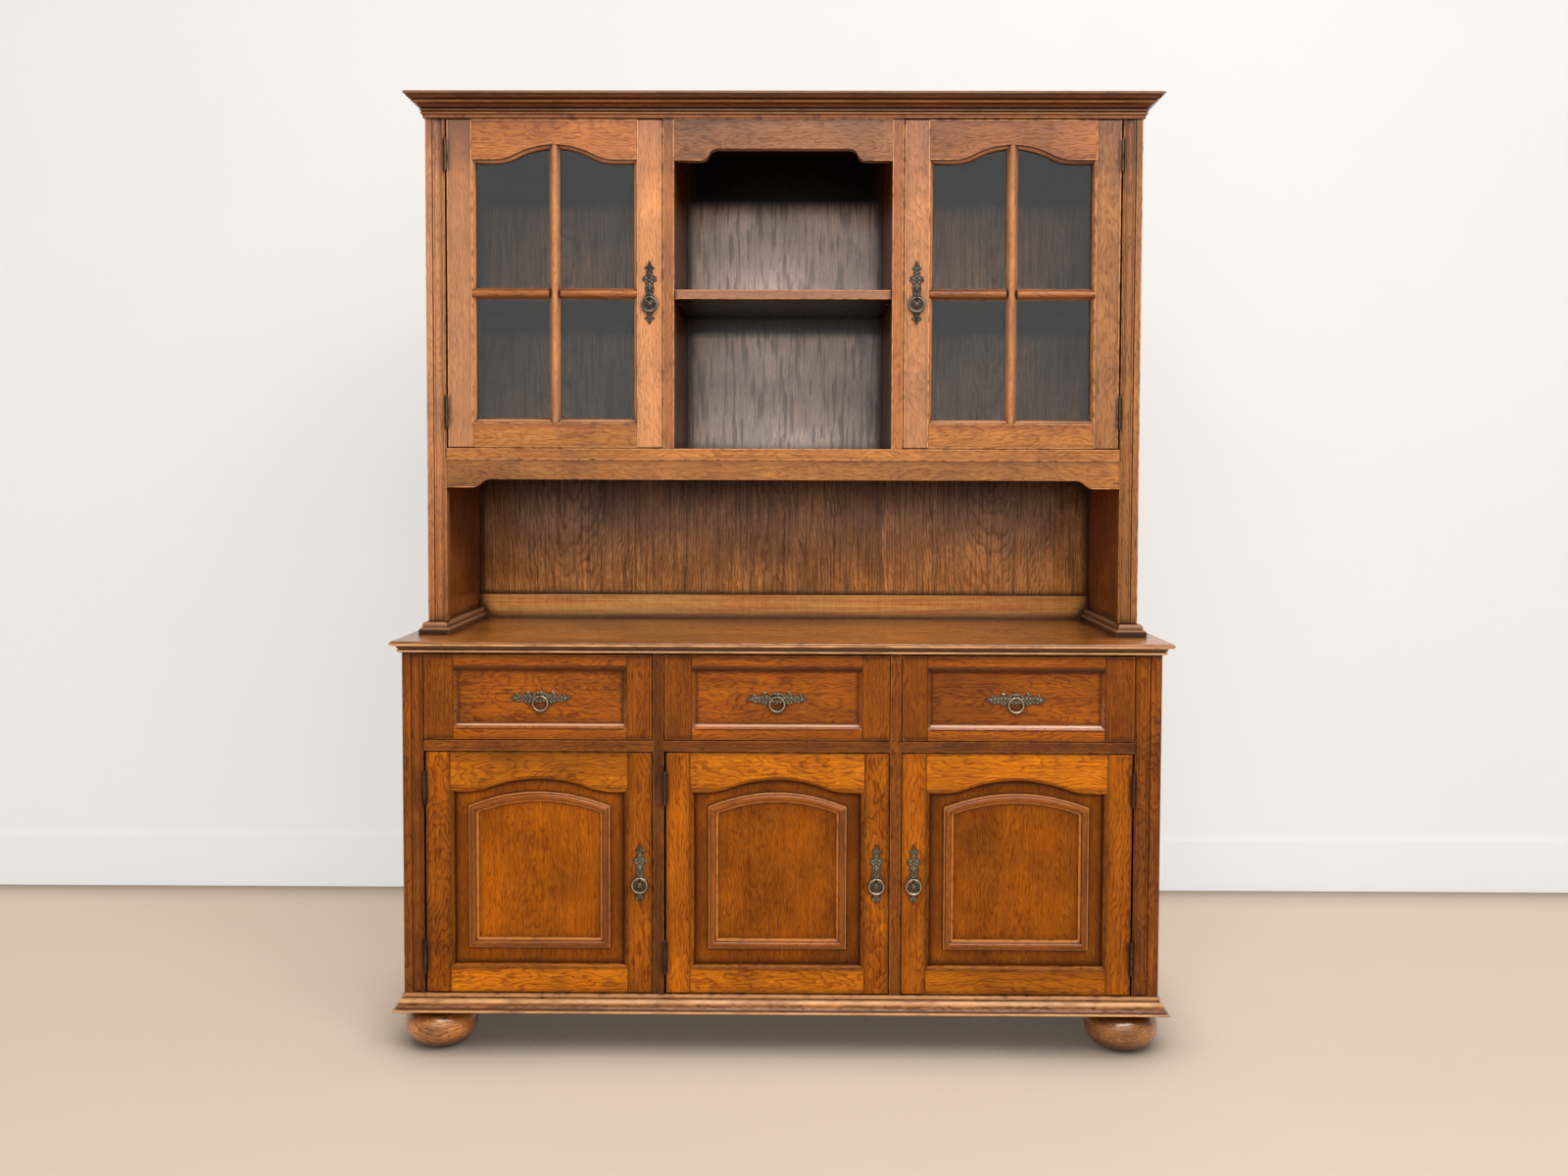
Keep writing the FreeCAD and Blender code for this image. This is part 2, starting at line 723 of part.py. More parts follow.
shoe_edges = ("-half_hutch - shoe_projection", "-hutch_inner + shoe_tier_step")
low_tier = board("shoe_low_tier", shoe_edges, ("hutch_front - shoe_projection", "back"),
                 ("top_level", "top_level + shoe_tier_height"))
high_tier = board("shoe_high_tier", ("-half_hutch - shoe_projection + shoe_tier_step", "-hutch_inner"),
                  ("hutch_front - shoe_projection + shoe_tier_step", "back"),
                  ("top_level + shoe_tier_height", "shoe_top"))
doc.recompute()


def upper_edges(piece):
    """Numbers of the edges round the top of a board, the rear one left out."""
    box = piece.Shape.BoundBox
    return [n for n, edge in enumerate(piece.Shape.Edges, 1)
            if round(edge.BoundBox.ZMin - box.ZMax, 3) >= 0 and round(edge.BoundBox.YMin - box.YMax, 3) < 0]


def rounded(name, piece, radius):
    """The board with its upper edges rounded."""
    result = doc.addObject("Part::Fillet", name)
    result.Base = piece
    result.Edges = [(n, value(radius), value(radius)) for n in upper_edges(piece)]
    return result


shoe_blank = fused("shoe_blank", rounded("shoe_low", low_tier, "shoe_tier_step"),
                   rounded("shoe_high", high_tier, "shoe_tier_step"))
shoe = cut("shoe", shoe_blank, board(
    "shoe_notch", ("-hutch_side_inner", "overrun - hutch_inner + shoe_tier_step"),
    ("back - back_rail_thickness", "back + overrun"), ("top_level - overrun", "shoe_top + overrun")))
hutch_side = framed_side(
    "hutch_side", "-half_hutch", "-hutch_side_inner", "hutch_frame_back",
    [("shoe_top", "shoe_top + side_rail_height / 2"),
     ("hutch_floor - side_rail_height / 2", "hutch_floor_top"),
     ("hutch_bay_top - side_rail_height", "total_top")])
both_hands("hutch_side", [shoe] + hutch_side)
hutch_face = ("hutch_front", "hutch_frame_back")
stile_section = stile_corners("hutch_stile_width", "frame_thickness", "hutch_flat_share * hutch_stile_width")
hutch_stile = pad("hutch_stile", "XY_Plane", stile_section, "total_top - shoe_top",
                  "-half_hutch", "hutch_front", "shoe_top")
partition_stile = board("partition_stile", ("-partition_outer", "-niche_half"), hutch_face,
                        ("hutch_floor_top", "hutch_bay_top"))
niche_run = "niche_rail_run"
niche_flat = "(niche_half - niche_rail_end - niche_rail_run)"
niche_bulge = s_bulge("niche_rail_rise", niche_run)
niche_rail = pad("niche_rail", "XZ_Plane", both_sides([
    (niche_flat, "niche_rail_rise"),
    ("niche_half - niche_rail_end - niche_rail_run / 2", "niche_rail_rise / 2", "-" + niche_bulge),
    ("niche_half - niche_rail_end", "0", niche_bulge),
    ("niche_half", "0"),
    ("niche_half", "niche_rail_height"),
]), "frame_thickness", "0", "hutch_frame_back", "hutch_bay_top - niche_rail_height")
node(
    "hutch_face_frame",
    hutch_stile, mirrored("hutch_stile_mirror", hutch_stile),
    partition_stile, mirrored("partition_stile_mirror", partition_stile),
    niche_rail,
    board("floor_rail", ("-hutch_inner", "hutch_inner"), hutch_face, ("hutch_floor", "hutch_floor_top")),
    board("frieze", ("-hutch_inner", "hutch_inner"), hutch_face, ("hutch_bay_top", "total_top")),
)
apron_bulge = s_bulge("apron_drop", "apron_run")
apron_foot_edge = "(hutch_inner - apron_foot)"
node("hutch_apron", pad("apron", "XZ_Plane", both_sides([
    (apron_foot_edge + " - apron_run", "apron_drop"),
    (apron_foot_edge + " - apron_run / 2", "apron_drop / 2", "-" + apron_bulge),
    (apron_foot_edge, "0", apron_bulge),
    ("hutch_inner", "0"),
    ("hutch_inner", "apron_drop + apron_height"),
]), "apron_thickness", "0", "hutch_front + apron_setback + apron_thickness",
    "hutch_floor - apron_drop - apron_height"))
node("hutch_bottom_board", board("hutch_floor_board", ("-hutch_side_inner", "hutch_side_inner"),
     ("hutch_frame_back", "back_panel"), ("hutch_floor", "hutch_floor_top")))
node("hutch_cornice",
     three_sided("cornice_run", "half_hutch", "hutch_front", "back",
                 scaled(CORNICE_SHARES, "cornice_projection", "cornice_height"), "hutch_bay_top"),
     board("hutch_top_board", ("-hutch_side_inner", "hutch_side_inner"), ("hutch_frame_back", "back_panel"),
           ("total_top - hutch_top_thickness", "total_top")))
hutch_partition = board("hutch_partition", ("-partition_back_outer", "-niche_half"),
                        ("hutch_frame_back", "back_panel"),
                        ("hutch_floor_top", "total_top - hutch_top_thickness"))
node("hutch_partitions", hutch_partition, mirrored("hutch_partition_mirror", hutch_partition))
hutch_backs = [
    board("hutch_back_left", ("-hutch_side_inner", "-niche_half"), ("back_panel", "back"),
          ("top_level + back_rail_height", "total_top")),
    board("hutch_back_centre", ("-niche_half", "niche_half"), ("back_panel", "back"),
          ("top_level + back_rail_height", "total_top")),
]
node("hutch_back", *hutch_backs, mirrored("hutch_back_right", hutch_backs[0]),
     board("hutch_back_rail", ("-hutch_side_inner", "hutch_side_inner"),
           ("back - back_rail_thickness", "back"), ("top_level", "top_level + back_rail_height")))
side_shelf = board("side_shelf",
                   ("-hutch_side_inner + shelf_side_gap", "-partition_back_outer - shelf_side_gap"),
                   ("hutch_frame_back + shelf_setback", "back_panel"), ("shelf_low", "shelf_top"))
niche_shelf = board("niche_shelf", ("-niche_half + shelf_side_gap", "niche_half - shelf_side_gap"),
                    ("hutch_front + niche_shelf_setback", "back_panel"), ("shelf_low", "shelf_top"))
node("hutch_shelves", side_shelf, mirrored("side_shelf_mirror", side_shelf), niche_shelf)
pins = []
pin_foot = "shelf_low - shelf_pin_diameter / 2"
pin_rows = {"front": "hutch_frame_back + shelf_pin_depth", "rear": "back_panel - shelf_pin_depth"}
for n, start in enumerate(("-hutch_side_inner", "-partition_back_outer - shelf_pin_length", "-niche_half")):
    for row_name, pin_y in pin_rows.items():
        pins.append(cylinder("shelf_pin_%d_%s" % (n, row_name), "shelf_pin_diameter / 2", "shelf_pin_length",
                             start, pin_y, pin_foot, AXIS_ALONG_X))
node("shelf_pins", *pins, *[mirrored(pin.Name + "_mirror", pin) for pin in pins])


# Hinges: the frame's leaf carries the pin and the door's leaf turns on it. The pattern hinge stands
# at the origin, on a frame edge at x = 0 whose door lies towards +X, with its face at y = 0.

hinge_axis = ("hinge_gap / 2", "-knuckle_offset")
leaf_depths = ("knuckle_radius + knuckle_gap - knuckle_offset", "leaf_depth")
tongue_depths = (hinge_axis[1], leaf_depths[0])
frame_leaf_span = ("0", "leaf_thickness")
door_leaf_span = ("hinge_gap - leaf_thickness", "hinge_gap")
middle_knuckle = ("knuckle_height + knuckle_gap", "2 * knuckle_height - knuckle_gap")
frame_side = [
    board("frame_plate", frame_leaf_span, leaf_depths, ("0", "hinge_height")),
    cylinder("hinge_pin", "pin_radius", "hinge_height", *hinge_axis, "0"),
]
for level, start, end, tip in (
    ("lower", "0", "knuckle_height", "0"),
    ("upper", "2 * knuckle_height", "hinge_height", "hinge_height"),
):
    frame_side += [
        board(level + "_tongue", frame_leaf_span, tongue_depths, (start, end)),
        cylinder(level + "_knuckle", "knuckle_radius", "knuckle_height", *hinge_axis, start),
        ellipsoid(level + "_finial", "finial_radius", "finial_radius", "finial_height", *hinge_axis, tip),
    ]
door_blank = fused(
    "door_leaf_blank",
    board("door_plate", door_leaf_span, leaf_depths, ("0", "hinge_height")),
    board("door_tongue", door_leaf_span, tongue_depths, middle_knuckle),
    cylinder("door_knuckle", "knuckle_radius", "knuckle_height - 2 * knuckle_gap", *hinge_axis,
             middle_knuckle[0]),
)
bore = cylinder("knuckle_bore", "pin_radius + pin_clearance", "hinge_height", *hinge_axis, "0")
pattern = {1: (fused("frame_leaf", *frame_side), cut("door_leaf", door_blank, bore))}
pattern[-1] = tuple(mirrored(leaf.Name + "_mirror", leaf) for leaf in pattern[1])
frame_leaves = []


def hinge_pair(name, edge, hand, face, low, top):
    """The door's two leaves; hand is 1 where the door lies towards +X from the frame's edge."""
    leaves = []
    for level, start in (("lower", "%s + hinge_end_distance - hinge_height / 2" % low),
                         ("upper", "%s - hinge_end_distance - hinge_height / 2" % top)):
        for leaf, kept in zip(pattern[hand], (frame_leaves, leaves)):
            kept.append(copied("%s_%s_%s" % (name, level, leaf.Name), leaf, edge, face, start))
    return leaves


# Pulls: a pierced plate with an eye, and a ring that hangs in it

PLATE_SHARES = [
    (0, -0.5), (0.1, -0.45, 0.2), (0.3, -0.38, -0.2), (0.16, -0.31, 0.2), (0.36, -0.29, 0.3),
    (0.5, -0.2, 0.35), (0.36, -0.12, 0.3), (0.22, -0.07, -0.3), (0.3, 0.02, 0.25), (0.2, 0.1, 0.2),
    (0.34, 0.16, -0.3), (0.5, 0.22, 0.4), (0.3, 0.27, 0.4), (0.13, 0.3, -0.2), (0.12, 0.34),
    (0.34, 0.37, 0.15), (0.3, 0.41, 0.5), (0.13, 0.42, -0.2), (0, 0.5),
]


def pattern_pull(name, length, drop, lies_flat):
    """The plate with its eye and studs, centred on the origin with its back at y = 0."""
    plate = pad(name + "_plate_body", "XZ_Plane", both_sides(scaled(PLATE_SHARES, "plate_width", length)),
                "plate_thickness")
    if lies_flat:
        plate.Placement = FreeCAD.Placement(FreeCAD.Vector(), FreeCAD.Rotation(FreeCAD.Vector(0, 1, 0), 90))
    skin = "-plate_thickness"
    solids = [
        plate,
        torus(name + "_eye", "eye_radius", "eye_wire_radius", "0", "-ring_depth", "-(%s)" % drop,
              AXIS_ALONG_X),
        ellipsoid(name + "_boss", "boss_radius", "boss_height", "boss_radius", "0", skin,
                  "-(%s) - ring_radius" % drop),
    ]
    along, across = "screw_place_share * (%s)" % length, "0"
    if lies_flat:
        along, across = across, along
    else:
        solids.append(ellipsoid(name + "_drop", "drop_width / 2", "drop_depth / 2", "drop_length / 2",
                                "0", skin, "eye_radius + eye_wire_radius + drop_length / 2 - (%s)" % drop))
    for n, sign in enumerate((1, -1)):
        solids.append(ellipsoid("%s_screw_%d" % (name, n), "screw_head_radius", "screw_head_height",
                                "screw_head_radius", "%d * %s" % (sign, across), skin,
                                "%d * %s" % (sign, along)))
    behind = board(name + "_behind", ("-(%s)" % length, length), ("0", "boss_height + overrun"),
                   ("-(%s)" % length, length))
    return cut(name, fused(name + "_fused", *solids), behind)


PULLS = {
    "tall": (pattern_pull("tall_pull", "tall_plate_length", "eye_drop", False), "eye_drop"),
    "short": (pattern_pull("short_pull", "short_plate_length", "eye_drop", False), "eye_drop"),
    "flat": (pattern_pull("flat_pull", "short_plate_length", "-eye_radius", True), "-eye_radius"),
}


def pull(name, kind, x, z, face):
    """A plate at this place and the ring that hangs in its eye."""
    source, drop = PULLS[kind]
    plate = copied(name + "_copy", source, x, face, z)
    ring = torus(name + "_wire", "ring_radius", "ring_wire_radius", x, "%s - ring_depth" % face,
                 "%s - (%s) - ring_radius" % (z, drop), AXIS_ALONG_Y)
    return plate, ring


# Glazed doors: the left one is drawn and the right one mirrors it

door_low = "(hutch_floor_top + door_gap)"
door_high = "(hutch_bay_top - door_gap)"
door_left = "(hinge_gap - hutch_inner)"
door_right = "(-partition_outer - door_gap)"
sight_left = "(%s + glazed_stile_width)" % door_left
sight_right = "(%s - glazed_stile_width)" % door_right
sight_low = "(%s + glazed_bottom_rail)" % door_low
sight_high = "(%s - glazed_top_rail)" % door_high
sight_half = "((%s - %s) / 2)" % (sight_right, sight_left)
sight_middle = "((%s + %s) / 2)" % (sight_left, sight_right)
glass_span = ("%s - glass_lap" % sight_left, "%s + glass_lap" % sight_right)
glass_rise = ("%s - glass_lap" % sight_low, "%s + glazed_arch_rise + glass_lap" % sight_high)
glass_front = "hutch_front + glass_setback"
glass_back = "%s + glass_thickness" % glass_front


def glass_seat(name):
    """The rebate for the glass, open to the back of the door."""
    return board(name, glass_span, (glass_front, "hutch_frame_back + overrun"), glass_rise)


rail = pad("glazed_top_rail_body", "XZ_Plane", both_sides(arched_rail(
    sight_half, "glazed_top_rail", "glazed_arch_end", "glazed_arch_rise")), "frame_thickness",
    sight_middle, "hutch_frame_back", sight_high)
blanks = {
    "hinge_stile": board("glazed_hinge_stile", (door_left, sight_left), hutch_face, (door_low, door_high)),
    "lock_stile": board("glazed_lock_stile", (sight_right, door_right), hutch_face, (door_low, door_high)),
    "bottom_rail": board("glazed_bottom_rail", (sight_left, sight_right), hutch_face, (door_low, sight_low)),
    "top_rail": rail,
}
glazed_frame = [cut("glazed_%s_seated" % name, blank, glass_seat("seat_for_" + name))
                for name, blank in blanks.items()]
bar_left = "%s - glazing_bar_width / 2" % sight_middle
bar_right = "%s + glazing_bar_width / 2" % sight_middle
bar_low = "(hutch_floor_top + hutch_shelf_height)"
sight_height = "(%s - %s)" % (sight_high, sight_low)
lip_at = (sight_middle, glass_front, sight_low)
lip = run("glazed_lip", both_sides(arch(sight_half, sight_height, "glazed_arch_end", "glazed_arch_rise")),
          scaled(STICKING_SHARES, "glazed_lip_width", "glazed_lip_height"), UP_FORWARD, lip_at, lip_at,
          XZ_UPRIGHT, closed=True)
glazed_frame.append(lip)
bar_standing = both_sides(scaled(GLAZING_BAR_SHARES, "glazing_bar_width", "glass_setback"))
bar_lying = [(c[1], c[0]) + tuple("-" + bulge for bulge in c[2:]) for c in bar_standing]
upright = pad("glazing_upright", "XY_Plane", bar_standing, "%s + glazed_arch_rise" % sight_height,
              sight_middle, "hutch_front", sight_low)
glazed_frame.append(cut("glazing_upright_fitted", cut("glazing_upright_topped", upright, rail), lip))
for name, span in (("left", (sight_left, bar_left)), ("right", (bar_right, sight_right))):
    bar = pad("glazing_bar_" + name, "YZ_Plane", bar_lying, "(%s) - (%s)" % (span[1], span[0]), span[0],
              "hutch_front", bar_low + " + glazing_bar_width / 2")
    glazed_frame.append(cut("glazing_bar_%s_fitted" % name, bar, lip))
stop_depth = (glass_back, "hutch_frame_back")
for name, span, rise in (
    ("left", (glass_span[0], sight_left), glass_rise),
    ("right", (sight_right, glass_span[1]), glass_rise),
    ("low", (sight_left, sight_right), (glass_rise[0], sight_low)),
    ("high", (sight_left, sight_right), ("%s - glass_lap" % glass_rise[1], glass_rise[1])),
):
    glazed_frame.append(board("glass_stop_" + name, span, stop_depth, rise))
both_hands("glazed_frame", glazed_frame)
both_hands("glazed_glass", [board("glass_pane", glass_span, (glass_front, glass_back), glass_rise)])
both_hands("glazed_hinges", hinge_pair("glazed", "-hutch_inner", 1, "hutch_front", door_low, door_high))
upper_plate, upper_ring = pull("upper_pull", "tall", "(%s - glazed_stile_width / 2)" % door_right,
                               "(%s + %s) / 2 - pull_lift" % (door_low, door_high), "hutch_front")
both_hands("glazed_plate", [upper_plate])
both_hands("glazed_ring", [upper_ring])
frame_leaves += [mirrored(leaf.Name + "_mirror", leaf) for leaf in frame_leaves]

# Lower doors

for name, start, end, hand in BAYS:
    base = name + "_door"
    left = "(%s + %s)" % (start, "hinge_gap" if hand == "left" else "door_gap")
    right = "(%s - %s)" % (end, "hinge_gap" if hand == "right" else "door_gap")
    low, high = "(bay_floor + door_gap)", "(bay_top - door_gap)"
    open_left, open_right = "(%s + door_stile_width)" % left, "(%s - door_stile_width)" % right
    open_low, open_high = "(%s + door_bottom_rail)" % low, "(%s - door_top_rail)" % high
    half = "((%s - %s) / 2)" % (open_right, open_left)
    middle = "((%s + %s) / 2)" % (open_left, open_right)
    opening = arch(half, "(%s - %s)" % (open_high, open_low), "door_arch_end", "door_arch_rise")
    sticking_at = (middle, "front + panel_setback", open_low)
    sticking_section = scaled(STICKING_SHARES, "sticking_width", "panel_setback")
    sticking = run(base + "_sticking", both_sides(opening), sticking_section, UP_FORWARD, sticking_at,
                   sticking_at, XZ_UPRIGHT, closed=True)
    node(
        name + "_door_frame",
        board(base + "_left_stile", (left, open_left), front_frame, (low, high)),
        board(base + "_right_stile", (open_right, right), front_frame, (low, high)),
        board(base + "_bottom_rail", (open_left, open_right), front_frame, (low, open_low)),
        pad(base + "_top_rail", "XZ_Plane", both_sides(arched_rail(half, "door_top_rail", "door_arch_end",
            "door_arch_rise")), "frame_thickness", middle, "frame_back", open_high),
        sticking,
    )
    panel = pad(base + "_panel_body", "XZ_Plane", both_sides(opening), "panel_thickness", middle,
                "front + panel_setback + panel_thickness", open_low)
    rim = round_topped("(%s - arch_moulding_side)" % half,
                       "(%s - %s - arch_moulding_bottom - arch_moulding_top)" % (open_high, open_low),
                       "arch_moulding_end", "arch_moulding_rise")
    rim_at = (middle, "front + panel_setback", "%s + arch_moulding_bottom" % open_low)
    rim_section = scaled(ARCH_MOULDING_SHARES, "arch_moulding_width", "arch_moulding_height")
    applied = run(base + "_arch_moulding", both_sides(rim), rim_section, UP_FORWARD, rim_at, rim_at,
                  XZ_UPRIGHT, closed=True)
    node(name + "_door_panel", panel, applied)
    edge, turn = (start, 1) if hand == "left" else (end, -1)
    node(name + "_door_hinges", *hinge_pair(base, edge, turn, "front", low, high))
    lock = "(%s - door_stile_width / 2)" % right if hand == "left" else "(%s + door_stile_width / 2)" % left
    plate, ring = pull(base + "_pull", "short", lock, "(%s + %s) / 2" % (low, high), "front")
    node(name + "_door_plate", plate)
    node(name + "_door_ring", ring)
node("hinge_frame_leaves", *frame_leaves)

# Drawers: a recessed front on an open box

DRAWER_ENDS = {
    "left": ("drawer_end_outer", "drawer_end_inner"),
    "centre": ("drawer_end_centre", "drawer_end_centre"),
    "right": ("drawer_end_inner", "drawer_end_outer"),
}
for name, start, end, hand in BAYS:
    base = name + "_drawer"
    left, right = "(%s + door_gap)" % start, "(%s - door_gap)" % end
    low, high = "(drawer_floor + door_gap)", "(base_top - drawer_top_gap)"
    end_left, end_right = DRAWER_ENDS[name]
    field_left, field_right = "(%s + %s)" % (left, end_left), "(%s - %s)" % (right, end_right)
    field_low, field_high = "(%s + drawer_rail_bottom)" % low, "(%s - drawer_rail_top)" % high
    blank = board(base + "_blank", (left, right), front_frame, (low, high))
    recess = doc.addObject("Part::Wedge", base + "_recess")
    width = "(%s - %s)" % (field_right, field_left)
    height = "(%s - %s)" % (field_high, field_low)
    tapered(recess, width, "drawer_recess", height, "drawer_bevel")
    place(recess, field_left, "front", field_low)
    node(base + "_front", cut(base + "_panelled", blank, recess))
    box_left, box_right = "(%s + drawer_side_gap)" % start, "(%s - drawer_side_gap)" % end
    box_low = "(%s + drawer_box_lift)" % low
    box_high = "(%s + drawer_box_height)" % box_low
    box_end = "(back_panel - drawer_back_gap)"
    in_left, in_right = "%s + drawer_wall" % box_left, "%s - drawer_wall" % box_right
    floor_low = "%s + drawer_floor_lift" % box_low
    floor_high = "%s + drawer_floor_thickness" % floor_low
    node(
        base + "_box",
        board(base + "_left_wall", (box_left, in_left), ("frame_back", box_end), (box_low, box_high)),
        board(base + "_right_wall", (in_right, box_right), ("frame_back", box_end), (box_low, box_high)),
        board(base + "_rear_wall", (in_left, in_right), (box_end + " - drawer_wall", box_end),
              (box_low, box_high)),
        board(base + "_floor", (in_left, in_right), ("frame_back", box_end + " - drawer_wall"),
              (floor_low, floor_high)),
    )
    plate, ring = pull(base + "_pull", "flat", "(%s + %s) / 2" % (field_left, field_right),
                       "(%s + %s) / 2" % (field_low, field_high), "front + drawer_recess")
    node(base + "_plate", plate)
    node(base + "_ring", ring)

# Check every object and write one file for each sub-part

doc.recompute()
failed = [thing.Name for thing in doc.Objects if "Invalid" in thing.State or "Error" in thing.State]
for name, thing in nodes.items():
    if thing.Shape.isNull() or not thing.Shape.isValid() or not thing.Shape.Solids:
        failed.append(name)
if failed:
    raise RuntimeError("failed objects: " + ", ".join(failed))
os.makedirs("parts", exist_ok=True)
for name, thing in nodes.items():
    thing.Shape.exportStep("parts/%s.step" % name)
whole = Part.makeCompound([thing.Shape for thing in nodes.values()])
print(len(nodes), "nodes,", len(whole.Solids), "solids,", whole.BoundBox)
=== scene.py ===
"""Dresses the buffet cabinet in oak, glass and brass, and sets its stage."""

import math

import bpy
import numpy as np
from mathutils import Matrix, Vector


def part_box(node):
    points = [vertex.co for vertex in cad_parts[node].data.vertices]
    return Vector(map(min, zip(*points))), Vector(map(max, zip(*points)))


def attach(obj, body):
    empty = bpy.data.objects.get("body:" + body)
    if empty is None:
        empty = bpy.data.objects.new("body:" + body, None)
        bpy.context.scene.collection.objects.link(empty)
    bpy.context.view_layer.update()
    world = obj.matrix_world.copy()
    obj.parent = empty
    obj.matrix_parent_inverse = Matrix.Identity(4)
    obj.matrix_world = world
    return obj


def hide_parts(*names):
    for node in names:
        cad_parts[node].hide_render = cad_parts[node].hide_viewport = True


bl_info = {
    "name": "Buffet Cabinet",
    "version": (1, 0, 0),
    "blender": (4, 5, 0),
    "location": "View3D > Sidebar > Cabinet",
    "description": "Finishes an oak buffet cabinet with glazed doors and ring pulls, and sets its stage",
    "category": "Object",
}

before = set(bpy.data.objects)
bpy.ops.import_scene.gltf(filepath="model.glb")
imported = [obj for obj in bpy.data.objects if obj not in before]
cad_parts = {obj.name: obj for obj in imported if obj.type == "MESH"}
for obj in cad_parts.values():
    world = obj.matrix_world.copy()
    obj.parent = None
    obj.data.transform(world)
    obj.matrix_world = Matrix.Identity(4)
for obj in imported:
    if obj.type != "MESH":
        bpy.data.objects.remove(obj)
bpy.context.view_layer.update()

HANDS = ("left", "right")
BAYS = ("left", "centre", "right")

# Sizes of the cabinet that the finishes follow, in metres

DRAWER_ENDS = {"left": (0.056, 0.048), "centre": (0.052, 0.052), "right": (0.048, 0.056)}
DRAWER_RAIL = 0.021
PANEL_SETBACK = 0.008
SHOE_HEIGHT = 0.025
DISPLAY_RAIL = 0.053
HUTCH_FLOOR = 1.155
ARCH_FOOT = 1.7
NICHE_HALF = 0.2145
MULLION = 0.024
SEAM = 0.0007
DOOR_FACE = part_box("left_door_frame")[0].y

# The photograph's camera, fitted to the cabinet's edges: pixels of its 1600 by 1200 frame and radians

PHOTO_WIDTH = 1600
PHOTO_HEIGHT = 1200
FOCAL_PIXELS = 1500
CENTRE_ROW_PIXELS = 554.57
CAMERA_PLACE = (0.0272, -3.0497, 1.1094)
CAMERA_YAW = 0.0081
CAMERA_PITCH = 0.0428
CAMERA_ROLL = -0.003


# Shader sockets and node trees


class Value:
    """A number's socket, on which arithmetic adds Math nodes."""

    def __init__(self, graph, socket):
        self.graph = graph
        self.socket = socket

    def math(self, operation, *numbers):
        return self.graph.add("ShaderNodeMath", {"operation": operation}, dict(enumerate(numbers)))

    def __add__(self, other):
        return self.math("ADD", self, other)

    def __sub__(self, other):
        return self.math("SUBTRACT", self, other)

    def __rsub__(self, other):
        return self.math("SUBTRACT", other, self)

    def __mul__(self, other):
        return self.math("MULTIPLY", self, other)

    def __truediv__(self, other):
        return self.math("DIVIDE", self, other)

    def __abs__(self):
        return self.math("ABSOLUTE", self)

    def __gt__(self, other):
        return self.math("GREATER_THAN", self, other)

    def __lt__(self, other):
        return self.math("LESS_THAN", self, other)

    __radd__ = __add__
    __rmul__ = __mul__

    def root(self):
        return self.math("SQRT", self)

    def fraction(self):
        return self.math("FRACT", self)

    def least(self, other):
        return self.math("MINIMUM", self, other)

    def most(self, other):
        return self.math("MAXIMUM", self, other)

    def ease(self, start, end):
        """Goes smoothly from 0 at start to 1 at end."""
        return self.graph.add(
            "ShaderNodeMapRange", {"interpolation_type": "SMOOTHSTEP"},
            {"Value": self, "From Min": start, "From Max": end},
        )

    def line(self, middle, inner, outer):
        """1 within the inner reach of the middle, and 0 beyond the outer reach."""
        return 1 - abs(self - middle).ease(inner, outer)


